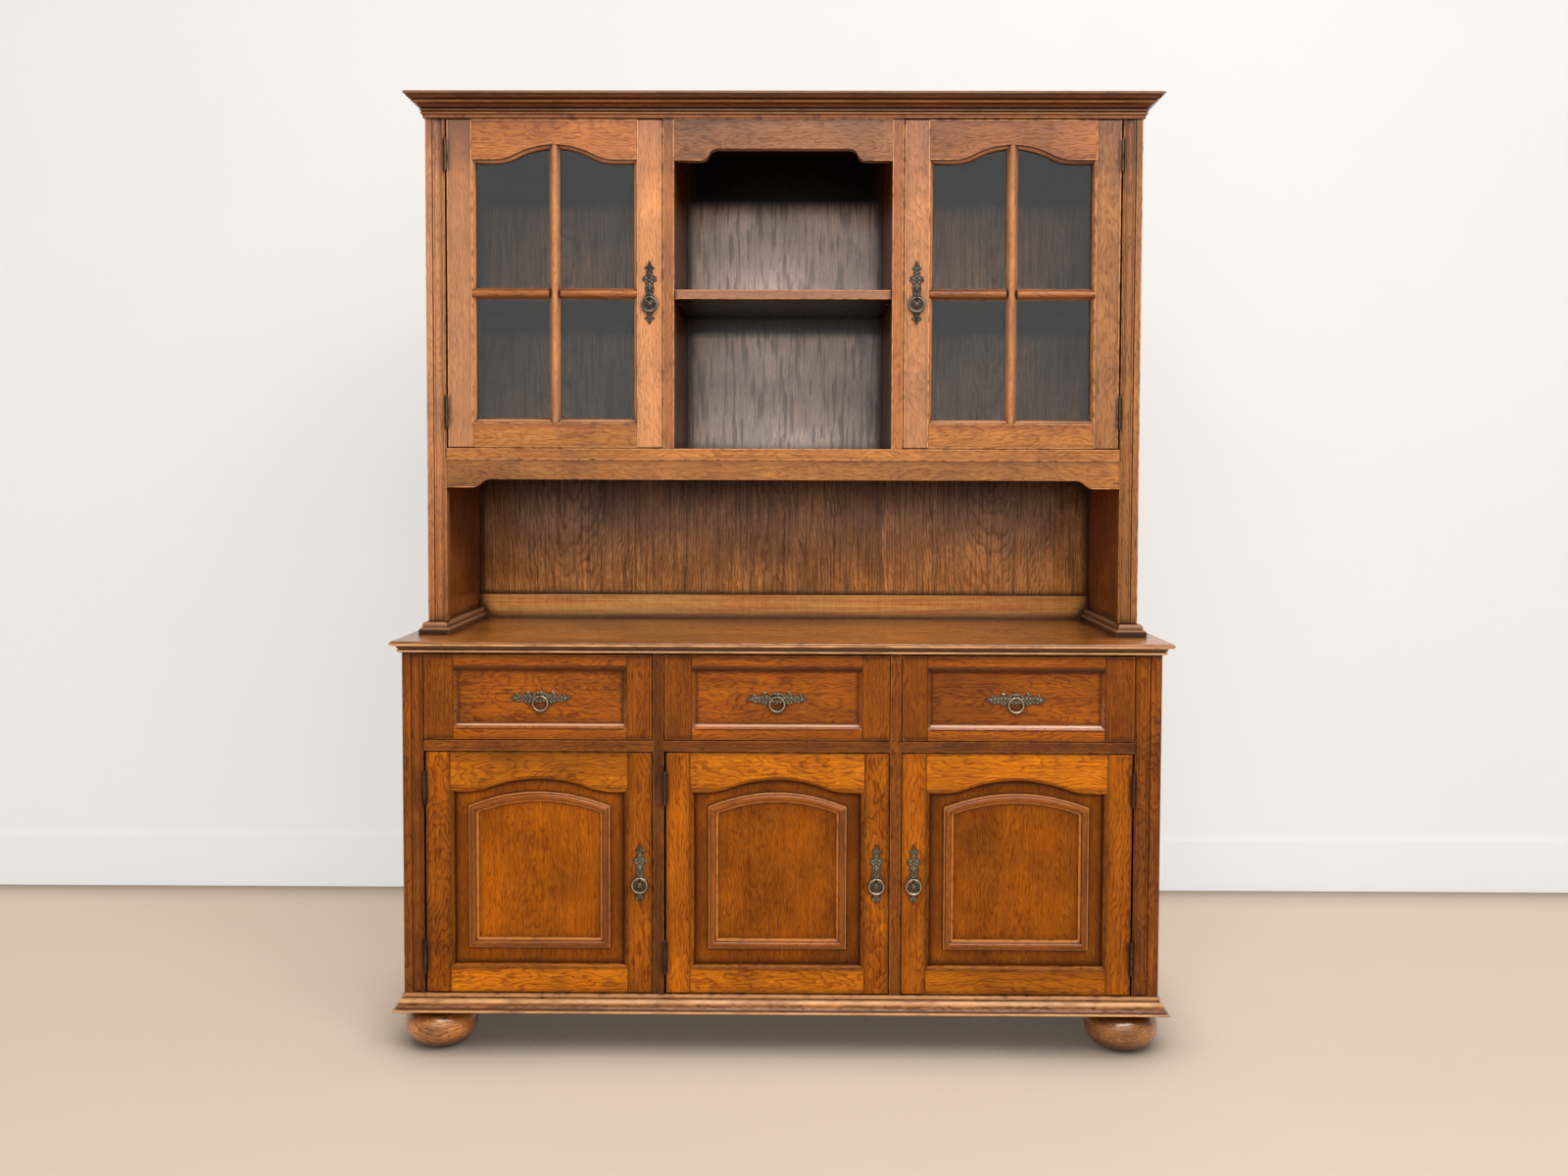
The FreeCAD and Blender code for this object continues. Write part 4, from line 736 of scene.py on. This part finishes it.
def shaded_ends(graph, body):
    """The drawer fronts' ends are darker than their fields; painted shade lies in the bevels' creases and on
    the upper bevel, and a painted highlight along the lower bevel.
    """
    inward, upward, rise, height = drawer_recess(graph)
    in_end = 1 - inward.ease(-0.001, 0.001)
    high = height.ease(0, 0.01)
    # Painted shade in the crease round the field, and on the upper bevel under the rail's overhang
    lip = inward.least(rise).line(0.009, 0.0005, 0.006) * 0.5
    above = rise.ease(-0.002, 0.002) * (1 - rise.ease(0.009, 0.015))
    lip = lip.most(above * high * 0.75)
    # Darker towards the front's top and bottom edges
    outer = (1 - upward.ease(0.001, 0.012)) * 0.42
    body = graph.mix((in_end * 0.38 + lip * (1 - in_end) + outer).least(0.9), body, (0.035, 0.009, 0.0005))
    foot = (1 - high) * (1 - in_end) * inward.ease(0.004, 0.008)
    # Painted shade in the crease at the foot of the lower bevel
    body = graph.mix(rise.line(-0.001, 0.0006, 0.0024) * foot * 0.7, body, (0.03, 0.008, 0.0005))
    # Painted highlight along the lower bevel
    return graph.mix(rise.line(0.0066, 0.0006, 0.0028) * foot * 0.75, body, (0.95, 0.55, 0.32))


def bevel_polish(graph):
    """The bevels at the foot of the drawers' fields are the most polished."""
    inward, _, rise, height = drawer_recess(graph)
    recess = inward.least(rise)
    low = 1 - height.ease(-0.01, 0)
    return recess.ease(-0.001, 0.001) * (1 - recess.ease(0.006, 0.009)) * (0.15 + low * 0.6)


class CABINET_OT_drawers(bpy.types.Operator):
    """Finish the drawer fronts, whose ends have upright grain, and the drawer boxes"""

    bl_idname = "cabinet.drawers"
    bl_label = "Drawers"

    def execute(self, context):
        looks = context.scene.cabinet_looks
        fronts = oak("drawer_oak", looks.drawer_oak, contrast=0.85, brightness=0.3, varnish_and_shade=0.9,
                     figure_of=drawer_figure, colour_and_shade=shaded_ends, coat=bevel_polish)
        for number, bay in enumerate(BAYS):
            name = bay + "_drawer_front"
            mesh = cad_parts[name].data
            places = mesh_arrays(mesh)[0]
            low, high = places.min(0), places.max(0)
            middle = (low + high) / 2
            field = np.empty_like(places)
            field[:, 0] = low[0] - middle[0] + DRAWER_ENDS[bay][0]
            field[:, 1] = high[0] - middle[0] - DRAWER_ENDS[bay][1]
            field[:, 2] = 0.17 + 0.29 * number
            for attribute, values in (("grain", places - middle), ("field", field)):
                layer = mesh.attributes.new(attribute, "FLOAT_VECTOR", "POINT")
                layer.data.foreach_set("vector", values.astype(np.float32).ravel())
            assign(fronts, name)
            lay_grain(bay + "_drawer_box", longest)
        boxes = oak("drawer_box_oak", looks.inner_oak, wear=0.1, gloss=0.6)
        assign(boxes, *[bay + "_drawer_box" for bay in BAYS])
        return {"FINISHED"}


def shade_and_highlight_lines(node_name, dark_lines, pale_lines):
    """Painted shade and highlight lines round a moulding, each with its share of the height, its reach and
    its strength.
    """
    low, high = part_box(node_name)

    def colour_and_shade(graph, body):
        share = (graph.split(graph.places())[2] - low.z) * (1 / (high.z - low.z))
        patches = graph.noise(graph.places(), 22, 3).ease(0.28, 0.6) * 0.6 + 0.4
        # Painted shade in the grooves
        for middle, reach, strength in dark_lines:
            line = share.line(middle, reach * 0.4, reach)
            body = graph.mix(line * strength, body, (0.07, 0.016, 0.002))
        # Painted highlights along the beads, broken in patches
        for middle, reach, strength in pale_lines:
            line = share.line(middle, reach * 0.4, reach)
            body = graph.mix(line * patches * strength, body, (0.95, 0.5, 0.2))
        return body

    return colour_and_shade


class CABINET_OT_mouldings(bpy.types.Operator):
    """Finish the cornice, the countertop and the plinth, with painted shade and highlight lines on their
    beads
    """

    bl_idname = "cabinet.mouldings"
    bl_label = "Mouldings"

    def execute(self, context):
        looks = context.scene.cabinet_looks
        base_low, base_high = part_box("base_face_frame")
        hutch_low, hutch_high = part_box("hutch_face_frame")
        lay_grain("plinth_moulding", round_carcass(base_high.x, base_low.y))
        lay_grain("hutch_cornice", round_carcass(hutch_high.x, hutch_low.y))
        lay_grain("countertop", longest)
        cornice_lines = shade_and_highlight_lines(
            "hutch_cornice", ((0.27, 0.05, 0.8), (0.41, 0.06, 0.7), (0.7, 0.05, 0.6)),
            ((0.2, 0.05, 0.3), (0.33, 0.05, 0.25), (0.62, 0.05, 0.2), (0.9, 0.04, 0.25)))
        cornice = oak("cornice_oak", looks.cornice_oak, contrast=0.7, wear=0.9, moulded=True, coat=0.3,
                      varnish_and_shade=1.2, colour_and_shade=cornice_lines)
        assign(cornice, "hutch_cornice")
        plinth_lines = shade_and_highlight_lines(
            "plinth_moulding", ((0.77, 0.07, 0.9), (0.2, 0.07, 0.75), (0.97, 0.08, 0.5)),
            ((0.62, 0.16, 0.6), (0.08, 0.08, 0.7), (0.86, 0.04, 0.6)))
        plinth = oak("plinth_oak", looks.plinth_oak, wear=0.5, moulded=True, shine=0.4, coat=0.2,
                     colour_and_shade=plinth_lines)
        assign(plinth, "plinth_moulding")
        countertop_lines = shade_and_highlight_lines(
            "countertop", ((0.45, 0.5, 0.75),), ((0.15, 0.13, 1), (0.67, 0.15, 1)))
        top = oak("countertop_oak", looks.countertop_oak, contrast=0.8, wear=0.6, moulded=True, gloss=0.26,
                  shine=0.5, coat=0.3, varnish_and_shade=1.2, colour_and_shade=countertop_lines)
        assign(top, "countertop")
        return {"FINISHED"}


def dark_shoes(graph, body):
    """Darker, purplish wood on the shoes, which stand lowest on the hutch's sides."""
    height = graph.split(graph.places())[2]
    shoe_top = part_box("hutch_side_left")[0].z + SHOE_HEIGHT
    return graph.mix((1 - height.ease(shoe_top - 0.001, shoe_top + 0.001)) * 0.7, body, (0.42, 0.22, 0.12))


def niche_share(graph):
    """1 on the part of the back that the open niche shows, and 1 on the whole front of the back."""
    x, y, z = graph.split(graph.places())
    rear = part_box("hutch_back")[1].y
    in_front = 1 - y.ease(rear - 0.004, rear - 0.002)
    above_floor = z.ease(HUTCH_FLOOR - 0.005, HUTCH_FLOOR + 0.005)
    between_partitions = 1 - abs(x).ease(NICHE_HALF + 0.0005, NICHE_HALF + 0.0035)
    return in_front * above_floor * between_partitions, in_front


def niche_polish(graph):
    """The niche's back shines below the shadow of its arch, and the rest is duller."""
    in_niche = niche_share(graph)[0]
    height = graph.split(graph.places())[2]
    patches = graph.noise(graph.places(), 5, 1)
    lit = 1 - height.ease(ARCH_FOOT - 0.02, ARCH_FOOT + 0.04)
    low = 1 - height.ease(HUTCH_FLOOR - 0.155, HUTCH_FLOOR - 0.035)
    return in_niche * lit * (0.4 + patches * 1.1) + low * 0.25


def back_shadows_and_sheen(graph, body):
    """The back has painted shadows under each board above it, a pale grey painted sheen in the niche and
    brighter, more orange painted light at the display's foot.
    """
    x, y, z = graph.split(graph.places())
    in_niche, in_front = niche_share(graph)
    streaks = graph.noise(graph.join(x * 70, y * 70, z * 3))
    # Painted sheen: the niche's back is made paler and greyer, in patches, and its wavy grain stays darker
    greyed = graph.mix(0.45, graph.mix(1, body, (1.8, 2.4, 3.6), "MULTIPLY"), (0.8, 0.7, 0.68))
    wavy = graph.noise(graph.join(x * 120 + streaks * 2, y * 120, z * 11), 1, 1).ease(0.5, 0.66)
    greyed = graph.mix(wavy * 0.6, greyed, (0.1, 0.06, 0.05))
    body = graph.mix(in_niche * (0.4 + graph.noise(graph.places(), 8, 2) * 0.9).least(1), body, greyed)
    lines = graph.noise(graph.join(x * 190, y * 190, z * 6)).ease(0.48, 0.62)
    body = graph.mix(lines * (1 - in_niche) * in_front * 0.5, body, (0.06, 0.02, 0.006))
    # Painted light: brighter and more orange towards the display's foot
    below = (1 - z.ease(HUTCH_FLOOR - 0.325, HUTCH_FLOOR - 0.105)) * (0.35 + streaks * 0.9) * in_front
    body = graph.tint(below.least(1), body, (2.4, 1.95, 1.0))
    rail_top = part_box("countertop")[1].z + DISPLAY_RAIL
    rail = (1 - z.ease(rail_top, rail_top + 0.0005)) * in_front
    fine = graph.noise(graph.join(x * 5, y * 90, z * 190), 1, 3)
    calm = graph.mix(fine.ease(0.3, 0.7), (0.78, 0.215, 0.054), (1.0, 0.54, 0.14))
    body = graph.mix(rail * 0.75, body, calm)
    # Painted shadows under the hutch's floor, under the arch and under the shelf
    under_floor = z.ease(HUTCH_FLOOR - 0.145, HUTCH_FLOOR - 0.025)
    under_floor *= 1 - z.ease(HUTCH_FLOOR + 0.005, HUTCH_FLOOR + 0.015)
    under_arch = z.ease(ARCH_FOOT - 0.01, ARCH_FOOT + 0.035)
    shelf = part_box("hutch_shelves")[0].z
    under_shelf = z.ease(shelf - 0.05, shelf - 0.025) * (1 - z.ease(shelf, shelf + 0.002))
    shadow = under_floor * 0.82 + under_arch + under_shelf * 0.9
    return graph.mix(shadow.least(0.995) * in_front, body, (0.003, 0.0015, 0.001))


def patchy_stiles(graph, body):
    """The upright boards are paler in patches, browner at the right and purplish at the top."""
    stands = graph.attribute("stands", "Fac")
    x, y, z = graph.split(graph.places())
    patches = graph.noise(graph.places(), 2.5, 2)
    fades = (1 - x.ease(0.45, 0.62) * 0.9) * (0.35 + z.ease(0.95, 1.25) * 0.65)
    # Paler patches on the upright boards, fewer towards the right and lower down
    pale_patches = stands * (0.3 + patches * 0.7) * fades
    paler = graph.mix(1, body, (1.7, 2.1, 3.0), "MULTIPLY")
    body = graph.mix(pale_patches.least(1), body, graph.mix(0.22, paler, (0.8, 0.46, 0.28)))
    off_middle = abs(x) - NICHE_HALF
    mullion = off_middle.ease(-0.0005, 0) * (1 - off_middle.ease(MULLION, MULLION + 0.0005)) * stands
    body = graph.tint(mullion * 0.8, body, (0.76, 0.56, 0.26))
    uneven = graph.noise(graph.join(x * 9, y * 9, z * 4))
    top = stands * (z + (uneven - 0.5) * 0.25).ease(1.62, 1.83)
    body = graph.tint(top * 0.75, body, (0.42, 0.36, 0.5))
    body = graph.tint(stands * x.ease(0.5, 0.6), body, (0.82, 0.98, 1.2))
    low_rails = (1 - stands) * (1 - z.ease(HUTCH_FLOOR + 0.045, HUTCH_FLOOR + 0.065))
    body = graph.tint(low_rails, body, (1.14, 1.32, 1.1))
    arch = (1 - off_middle.ease(0.0005, 0.0055)) * z.ease(ARCH_FOOT, ARCH_FOOT + 0.01)
    return graph.tint(arch, body, (0.7, 0.78, 1.1))


class CABINET_OT_hutch(bpy.types.Operator):
    """Finish the hutch: its frame, sides, apron, backs and glazed doors"""

    bl_idname = "cabinet.hutch"
    bl_label = "Hutch"

    def execute(self, context):
        looks = context.scene.cabinet_looks
        fronts = ("hutch_face_frame", "hutch_apron", "glazed_frame_left", "glazed_frame_right")
        for name in fronts + ("hutch_side_left", "hutch_side_right"):
            lay_grain(name, longest)
        lay_grain("hutch_back", back_parts)
        front_oak = oak("hutch_oak", looks.hutch_oak, contrast=0.62, wear=1.6, shine=0.4, margin=0.1,
                        colour_and_shade=patchy_stiles)
        assign(front_oak, *fronts)
        sides = oak("hutch_side_oak", looks.hutch_side_oak, wear=0.9, moulded=True, colour_and_shade=dark_shoes)
        assign(sides, "hutch_side_left", "hutch_side_right")
        backs = oak("back_oak", looks.back_oak, contrast=0.8, ring=0.005, curl=0.4, wear=0.1,
                    colour_and_shade=back_shadows_and_sheen, shine=0.12, coat=niche_polish)
        assign(backs, "hutch_back")
        return {"FINISHED"}


def dark_underside(graph, body):
    """The shelves are greyed, and dark on the underside, because little light reaches it."""
    height = graph.split(graph.places())[2]
    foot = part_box("hutch_shelves")[0].z
    body = graph.mix(0.4, body, (0.42, 0.26, 0.21))
    return graph.mix((1 - height.ease(foot + 0.0002, foot + 0.0015)) * 0.98, body, (0.006, 0.002, 0.001))


def back_parts(middles, low, high):
    """The back's boards are upright and its lower rail lies across."""
    tall = high[2] - low[2] > 0.5
    return (upright if tall else longest)(middles, low, high)


class CABINET_OT_inside(bpy.types.Operator):
    """Finish the partitions, shelves, floors, back and runners inside the cabinet"""

    bl_idname = "cabinet.inside"
    bl_label = "Inside"

    def execute(self, context):
        looks = context.scene.cabinet_looks
        dull = ("base_partitions", "base_back_panel", "base_shelves", "drawer_runners", "base_bottom_board")
        shaded_inner_parts = ("hutch_partitions", "hutch_bottom_board")
        for name in dull + shaded_inner_parts + ("hutch_shelves", "shelf_pins"):
            lay_grain(name, longest)
        assign(oak("inner_oak", looks.inner_oak, wear=0.1, gloss=0.6), *dull)
        # A darker copy of the hutch's oak: painted shade on the hutch's partitions and bottom board
        assign(oak("shaded_hutch_oak", shade(looks.hutch_oak, 0.4), wear=0.4, shine=0.05), *shaded_inner_parts)
        shelves = oak("shelf_oak", shade(looks.hutch_oak, 1.1), contrast=0.7, wear=1.0,
                      colour_and_shade=dark_underside, shine=0.1)
        assign(shelves, "hutch_shelves")
        return {"FINISHED"}


class CABINET_OT_glass(bpy.types.Operator):
    """Fill the upper doors with clear panes"""

    bl_idname = "cabinet.glass"
    bl_label = "Glass"

    def execute(self, context):
        looks = context.scene.cabinet_looks
        graph = Graph("pane_glass")
        ripple = graph.noise(graph.places(), 3, 2)
        panes = graph.finish({
            "Base Color": full_colour(looks.glass_tint),
            "Roughness": 0.06,
            "Transmission Weight": 1.0,
            "IOR": 1.32,
        }, bump=(ripple, 0.002, 0.05))
        assign(panes, "glazed_glass_left", "glazed_glass_right")
        return {"FINISHED"}


def worn_metal(name, colour, dark=0.2, roughness=0.38):
    """Cast metal: bright where hands rub it, dark in its hollows, with a fine cast grain."""
    graph = Graph(name)
    places = graph.places()
    mottle = graph.noise(places, 140, 3)
    patches = graph.noise(places, 35, 2)
    open_air = graph.hollows(0.004, samples=8)
    tarnish = (1 - open_air.ease(0.6, 1.0)).most(patches.ease(0.5, 0.7) * 0.7)
    body = graph.mix(tarnish, colour, shade(colour, dark))
    rubbed = 1 - graph.hollows(0.0015, inside=True).ease(0.35, 0.85)
    body = graph.mix(rubbed * 0.75, body, shade(colour, 2.2))
    rough = roughness + tarnish * 0.25 + (mottle - 0.5) * 0.2
    return graph.finish({"Base Color": body, "Roughness": rough, "Metallic": 1.0}, bump=(mottle, 0.0005, 0.5))


class CABINET_OT_pulls(bpy.types.Operator):
    """Set a cast plate, boss and ring on each door and drawer"""

    bl_idname = "cabinet.pulls"
    bl_label = "Ring Pulls"

    plate_width: bpy.props.FloatProperty(
        name="Plate width", description="Width of the doors' plates", unit="LENGTH", default=0.029)
    lying_width: bpy.props.FloatProperty(
        name="Lying plate width", description="Height of the drawers' plates", unit="LENGTH", default=0.026)
    plate_thickness: bpy.props.FloatProperty(
        name="Plate thickness", description="How far the plates stand out", unit="LENGTH", default=0.0022)

    def execute(self, context):
        looks = context.scene.cabinet_looks
        brass = (worn_metal("antique_brass", looks.brass, dark=0.12),
                 worn_metal("ring_brass", looks.ring_brass, dark=0.4))
        pewter = (worn_metal("dark_pewter", looks.pewter, dark=0.35, roughness=0.42),
                  worn_metal("ring_pewter", looks.ring_pewter, dark=0.4))
        for hand in HANDS:
            self.make("glazed_%s_" + hand, "glazed_door_" + hand, "glazed_ring_%s_pull" % hand, pewter,
                      "dark_pewter", False)
        for bay in BAYS:
            self.make(bay + "_door_%s", bay + "_door", bay + "_door_pull", brass, "antique_brass", False)
            self.make(bay + "_drawer_%s", bay + "_drawer", bay + "_drawer_pull", brass, "antique_brass", True)
        return {"FINISHED"}

    def make(self, nodes, body, ring_body, metals, slot, lies_flat):
        """Builds a plate with its boss, hood, eye and screws over its node, and the ring over its own."""
        plate_node, ring_node = nodes % "plate", nodes % "ring"
        low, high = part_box(plate_node)
        ring_low, ring_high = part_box(ring_node)
        thick = self.plate_thickness
        middle = (low + high) / 2
        ring_middle = (ring_low + ring_high) / 2
        wire = (ring_high.y - ring_low.y) / 2
        radius = (ring_high.x - ring_low.x) / 2 - wire
        back = high.y
        pivot = (ring_middle.x, ring_middle.y, ring_middle.z + radius)
        length = (high.x - low.x) if lies_flat else (high.z - low.z)
        width = self.lying_width if lies_flat else self.plate_width
        boss = max(back - ring_middle.y - 0.003, 0.002)
        parts = [
            plate((middle.x, back, middle.z), length, width, thick, lies_flat),
            hoop(pivot, 0.003, 0.0011, upright=True, rows=32, cols=10),
            arched_rod((pivot[0], back - thick * 0.7, pivot[2] - 0.0035), 0.0075, 0.0021, 1.25),
            dome((pivot[0], back - thick * 0.5, pivot[2]), 0.0038, boss, rows=8, cols=18),
        ]
        spot = (0.41 if lies_flat else 0.31) * length
        for sign in (-1, 1):
            if lies_flat:
                place = (middle.x + sign * spot, back - thick * 0.6, middle.z - 0.001)
            else:
                place = (middle.x, back - thick * 0.6, middle.z + sign * spot + (0.0 if sign > 0 else -0.003))
            parts.append(dome(place, 0.0026, 0.0016, rows=6, cols=18, rim=0.0003))
        if not lies_flat:
            parts.append(dome((ring_middle.x, back - thick * 0.5, ring_middle.z), 0.0074, 0.0046, rim=0.0012))
            drop = (middle.x, back - thick * 0.5, pivot[2] + 0.0165)
            parts.append(waisted_drop(drop, 0.0046, 0.0032, 0.0095))
        add_piece(plate_node + "_cast", parts, body, metals[0], plate_node)
        ring = hoop(tuple(ring_middle), radius, wire * 0.82, swell=wire * 0.3, collar=wire * 0.35)
        add_piece(ring_node + "_cast", [ring], ring_body, metals[1], ring_node)


def waisted_drop(centre, across, deep, up, rows=24, cols=20):
    """A waisted drop: its half width is across sin(a), pinched at its upper third, from foot to tip."""
    rise = np.linspace(0.04, math.pi - 0.04, rows)[:, None]
    turn = np.linspace(0, 2 * math.pi, cols, endpoint=False)[None, :]
    pinch = 1 - 0.55 * np.exp(-(((rise - 2.1) / 0.32) ** 2))
    reach = np.sin(rise) * pinch
    grid = np.stack([across * reach * np.cos(turn), -deep * reach * np.sin(turn),
                     -up * np.cos(rise) + 0 * turn], -1)
    return skin(grid + np.array(centre))


class CABINET_OT_hinges(bpy.types.Operator):
    """Finish the hinges and the shelf pins"""

    bl_idname = "cabinet.hinges"
    bl_label = "Hinges"

    def execute(self, context):
        looks = context.scene.cabinet_looks
        metal = worn_metal("hinge_metal", looks.hinge_metal, roughness=0.42)
        assign(metal, "hinge_frame_leaves", "shelf_pins", "glazed_hinges_left", "glazed_hinges_right",
               *[bay + "_door_hinges" for bay in BAYS])
        return {"FINISHED"}


# The skirting board's profile: how far each point stands out from the wall, and its height

SKIRTING = ((0.007, 0.157), (0.01, 0.146), (0.016, 0.136), (0.016, 0.0))


def wide_sheet(name, reach, first, second, material):
    """A flat stage piece that runs to the reach on both sides between two edges, each at its y and z."""
    corners = [(-reach, *first), (reach, *first), (reach, *second), (-reach, *second)]
    mesh = bpy.data.meshes.new(name)
    mesh.from_pydata(corners, [], [(0, 1, 2, 3)])
    mesh.materials.append(material)
    sheet = bpy.data.objects.new(name, mesh)
    bpy.context.scene.collection.objects.link(sheet)


def plain_paint(name, colour, glow, one_sided=False, contact_shadow=0.0):
    """Matte paint that also shows in part as it is painted.

    A painted shadow darkens it close to other things, and a one-sided sheet is clear from behind.
    """
    graph = Graph(name)
    mottle = graph.noise(graph.places(), 1.5, 3)
    body = graph.mix(mottle, shade(colour, 0.97), shade(colour, 1.02))
    if contact_shadow:
        # Painted shadow where other things stand close to the sheet
        closed_in = 1 - graph.hollows(0.2, samples=8, local=False).ease(0.2, 1)
        body = graph.mix(closed_in * contact_shadow, body, shade(colour, 0.03))
    paint = graph.add("ShaderNodeBsdfDiffuse", None, {"Color": body})
    shown = graph.add("ShaderNodeEmission", None, {"Color": body})
    seen = graph.add("ShaderNodeLightPath", output="Is Camera Ray")
    seen = seen.most(graph.add("ShaderNodeLightPath", output="Is Glossy Ray"))
    seen = seen.most(graph.add("ShaderNodeLightPath", output="Is Transmission Ray"))
    surface = graph.add("ShaderNodeMixShader", None, {0: seen * glow, 1: paint, 2: shown})
    if one_sided:
        clear = graph.add("ShaderNodeBsdfTransparent")
        behind = graph.add("ShaderNodeNewGeometry", output="Backfacing")
        surface = graph.add("ShaderNodeMixShader", None, {0: behind, 1: surface, 2: clear})
    graph.add("ShaderNodeOutputMaterial", None, {"Surface": surface})
    return graph.material


class CABINET_OT_stage(bpy.types.Operator):
    """Set the floor, the wall, the lights and the camera"""

    bl_idname = "cabinet.stage"
    bl_label = "Stage"

    reach: bpy.props.FloatProperty(
        name="Reach", description="Half width of the floor", unit="LENGTH", default=6)
    wall_distance: bpy.props.FloatProperty(
        name="Wall", description="How far behind the middle the wall stands", unit="LENGTH", default=0.923)

    def execute(self, context):
        scene = context.scene
        looks = scene.cabinet_looks
        reach, wall_y = self.reach, self.wall_distance
        floor = plain_paint("floor_paint", looks.floor, 0.45, contact_shadow=0.8)
        wide_sheet("stage_floor", reach, (-reach, 0), (reach, 0), floor)
        wall = plain_paint("wall_paint", looks.wall, 0.6, one_sided=True)
        wide_sheet("stage_wall", reach, (wall_y, 0), (wall_y, 2.9), wall)
        profile = [(wall_y - out, height) for out, height in SKIRTING]
        for number, (upper, lower) in enumerate(zip(profile, profile[1:])):
            wide_sheet("stage_skirting_%d" % number, reach, lower, upper, wall)
        self.light(scene, "top_light", (0.7, -2.5, 3.5), (0, -0.1, 0.8), (3.4, 1.8), looks.key_power)
        self.light(scene, "front_light", (0.2, -4.3, 1.8), (0, -0.1, 1.1), (4.8, 2.0), looks.key_power * 0.36)
        world = bpy.data.worlds.new("studio")
        scene.world = world
        world.use_nodes = True
        tree = world.node_tree
        sky = tree.nodes["Background"]
        sky.inputs["Color"].default_value = (1.0, 0.985, 0.965, 1)
        sky.inputs["Strength"].default_value = looks.sky_level
        white = tree.nodes.new("ShaderNodeBackground")
        white.inputs["Color"].default_value = full_colour(looks.wall)
        seen = tree.nodes.new("ShaderNodeLightPath")
        either = tree.nodes.new("ShaderNodeMixShader")
        tree.links.new(seen.outputs["Is Camera Ray"], either.inputs[0])
        tree.links.new(sky.outputs[0], either.inputs[1])
        tree.links.new(white.outputs[0], either.inputs[2])
        tree.links.new(either.outputs[0], tree.nodes["World Output"].inputs["Surface"])
        scene.view_settings.view_transform = "Standard"
        self.camera(scene)
        return {"FINISHED"}

    def light(self, scene, name, place, target, sides, power):
        """A large soft lamp that faces the target."""
        data = bpy.data.lights.new(name, "AREA")
        data.shape = "RECTANGLE"
        data.size, data.size_y = sides
        data.energy = power
        lamp = bpy.data.objects.new(name, data)
        lamp.location = place
        lamp.rotation_euler = (Vector(target) - Vector(place)).to_track_quat("-Z", "Y").to_euler()
        scene.collection.objects.link(lamp)

    def camera(self, scene):
        """The photograph's camera: a level turn, a tilt down and a small roll."""
        data = bpy.data.cameras.new("camera")
        data.sensor_width = 36
        data.lens = FOCAL_PIXELS / PHOTO_WIDTH * data.sensor_width
        data.shift_y = (CENTRE_ROW_PIXELS - PHOTO_HEIGHT / 2) / PHOTO_WIDTH
        turn = Matrix.Rotation(CAMERA_YAW, 3, "Z")
        ahead = turn @ Vector((0, math.cos(CAMERA_PITCH), -math.sin(CAMERA_PITCH)))
        level = turn @ Vector((1, 0, 0))
        down = ahead.cross(level)
        right = level * math.cos(CAMERA_ROLL) + down * math.sin(CAMERA_ROLL)
        down = down * math.cos(CAMERA_ROLL) - level * math.sin(CAMERA_ROLL)
        camera = bpy.data.objects.new("camera", data)
        turned = Matrix((right, -down, -ahead)).transposed().to_4x4()
        camera.matrix_world = Matrix.Translation(CAMERA_PLACE) @ turned
        scene.collection.objects.link(camera)
        scene.camera = camera


STEPS = (
    CABINET_OT_stage,
    CABINET_OT_base_oak,
    CABINET_OT_doors,
    CABINET_OT_drawers,
    CABINET_OT_mouldings,
    CABINET_OT_hutch,
    CABINET_OT_inside,
    CABINET_OT_glass,
    CABINET_OT_hinges,
    CABINET_OT_pulls,
)


class CABINET_PT_panel(bpy.types.Panel):
    """Lists the cabinet's settings and steps"""

    bl_idname = "CABINET_PT_panel"
    bl_label = "Buffet Cabinet"
    bl_space_type = "VIEW_3D"
    bl_region_type = "UI"
    bl_category = "Cabinet"

    def draw(self, context):
        for setting in CabinetLooks.__annotations__:
            self.layout.prop(context.scene.cabinet_looks, setting)
        for step in STEPS:
            self.layout.operator(step.bl_idname)


CLASSES = (CabinetLooks, *STEPS, CABINET_PT_panel)


def register():
    for each in CLASSES:
        bpy.utils.register_class(each)
    bpy.types.Scene.cabinet_looks = bpy.props.PointerProperty(type=CabinetLooks)


def unregister():
    del bpy.types.Scene.cabinet_looks
    for each in reversed(CLASSES):
        bpy.utils.unregister_class(each)


def main():
    """Registers the add-on and runs its steps in order."""
    register()
    for step in STEPS:
        group, action = step.bl_idname.split(".")
        getattr(getattr(bpy.ops, group), action)()


if __name__ == "__main__":
    main()
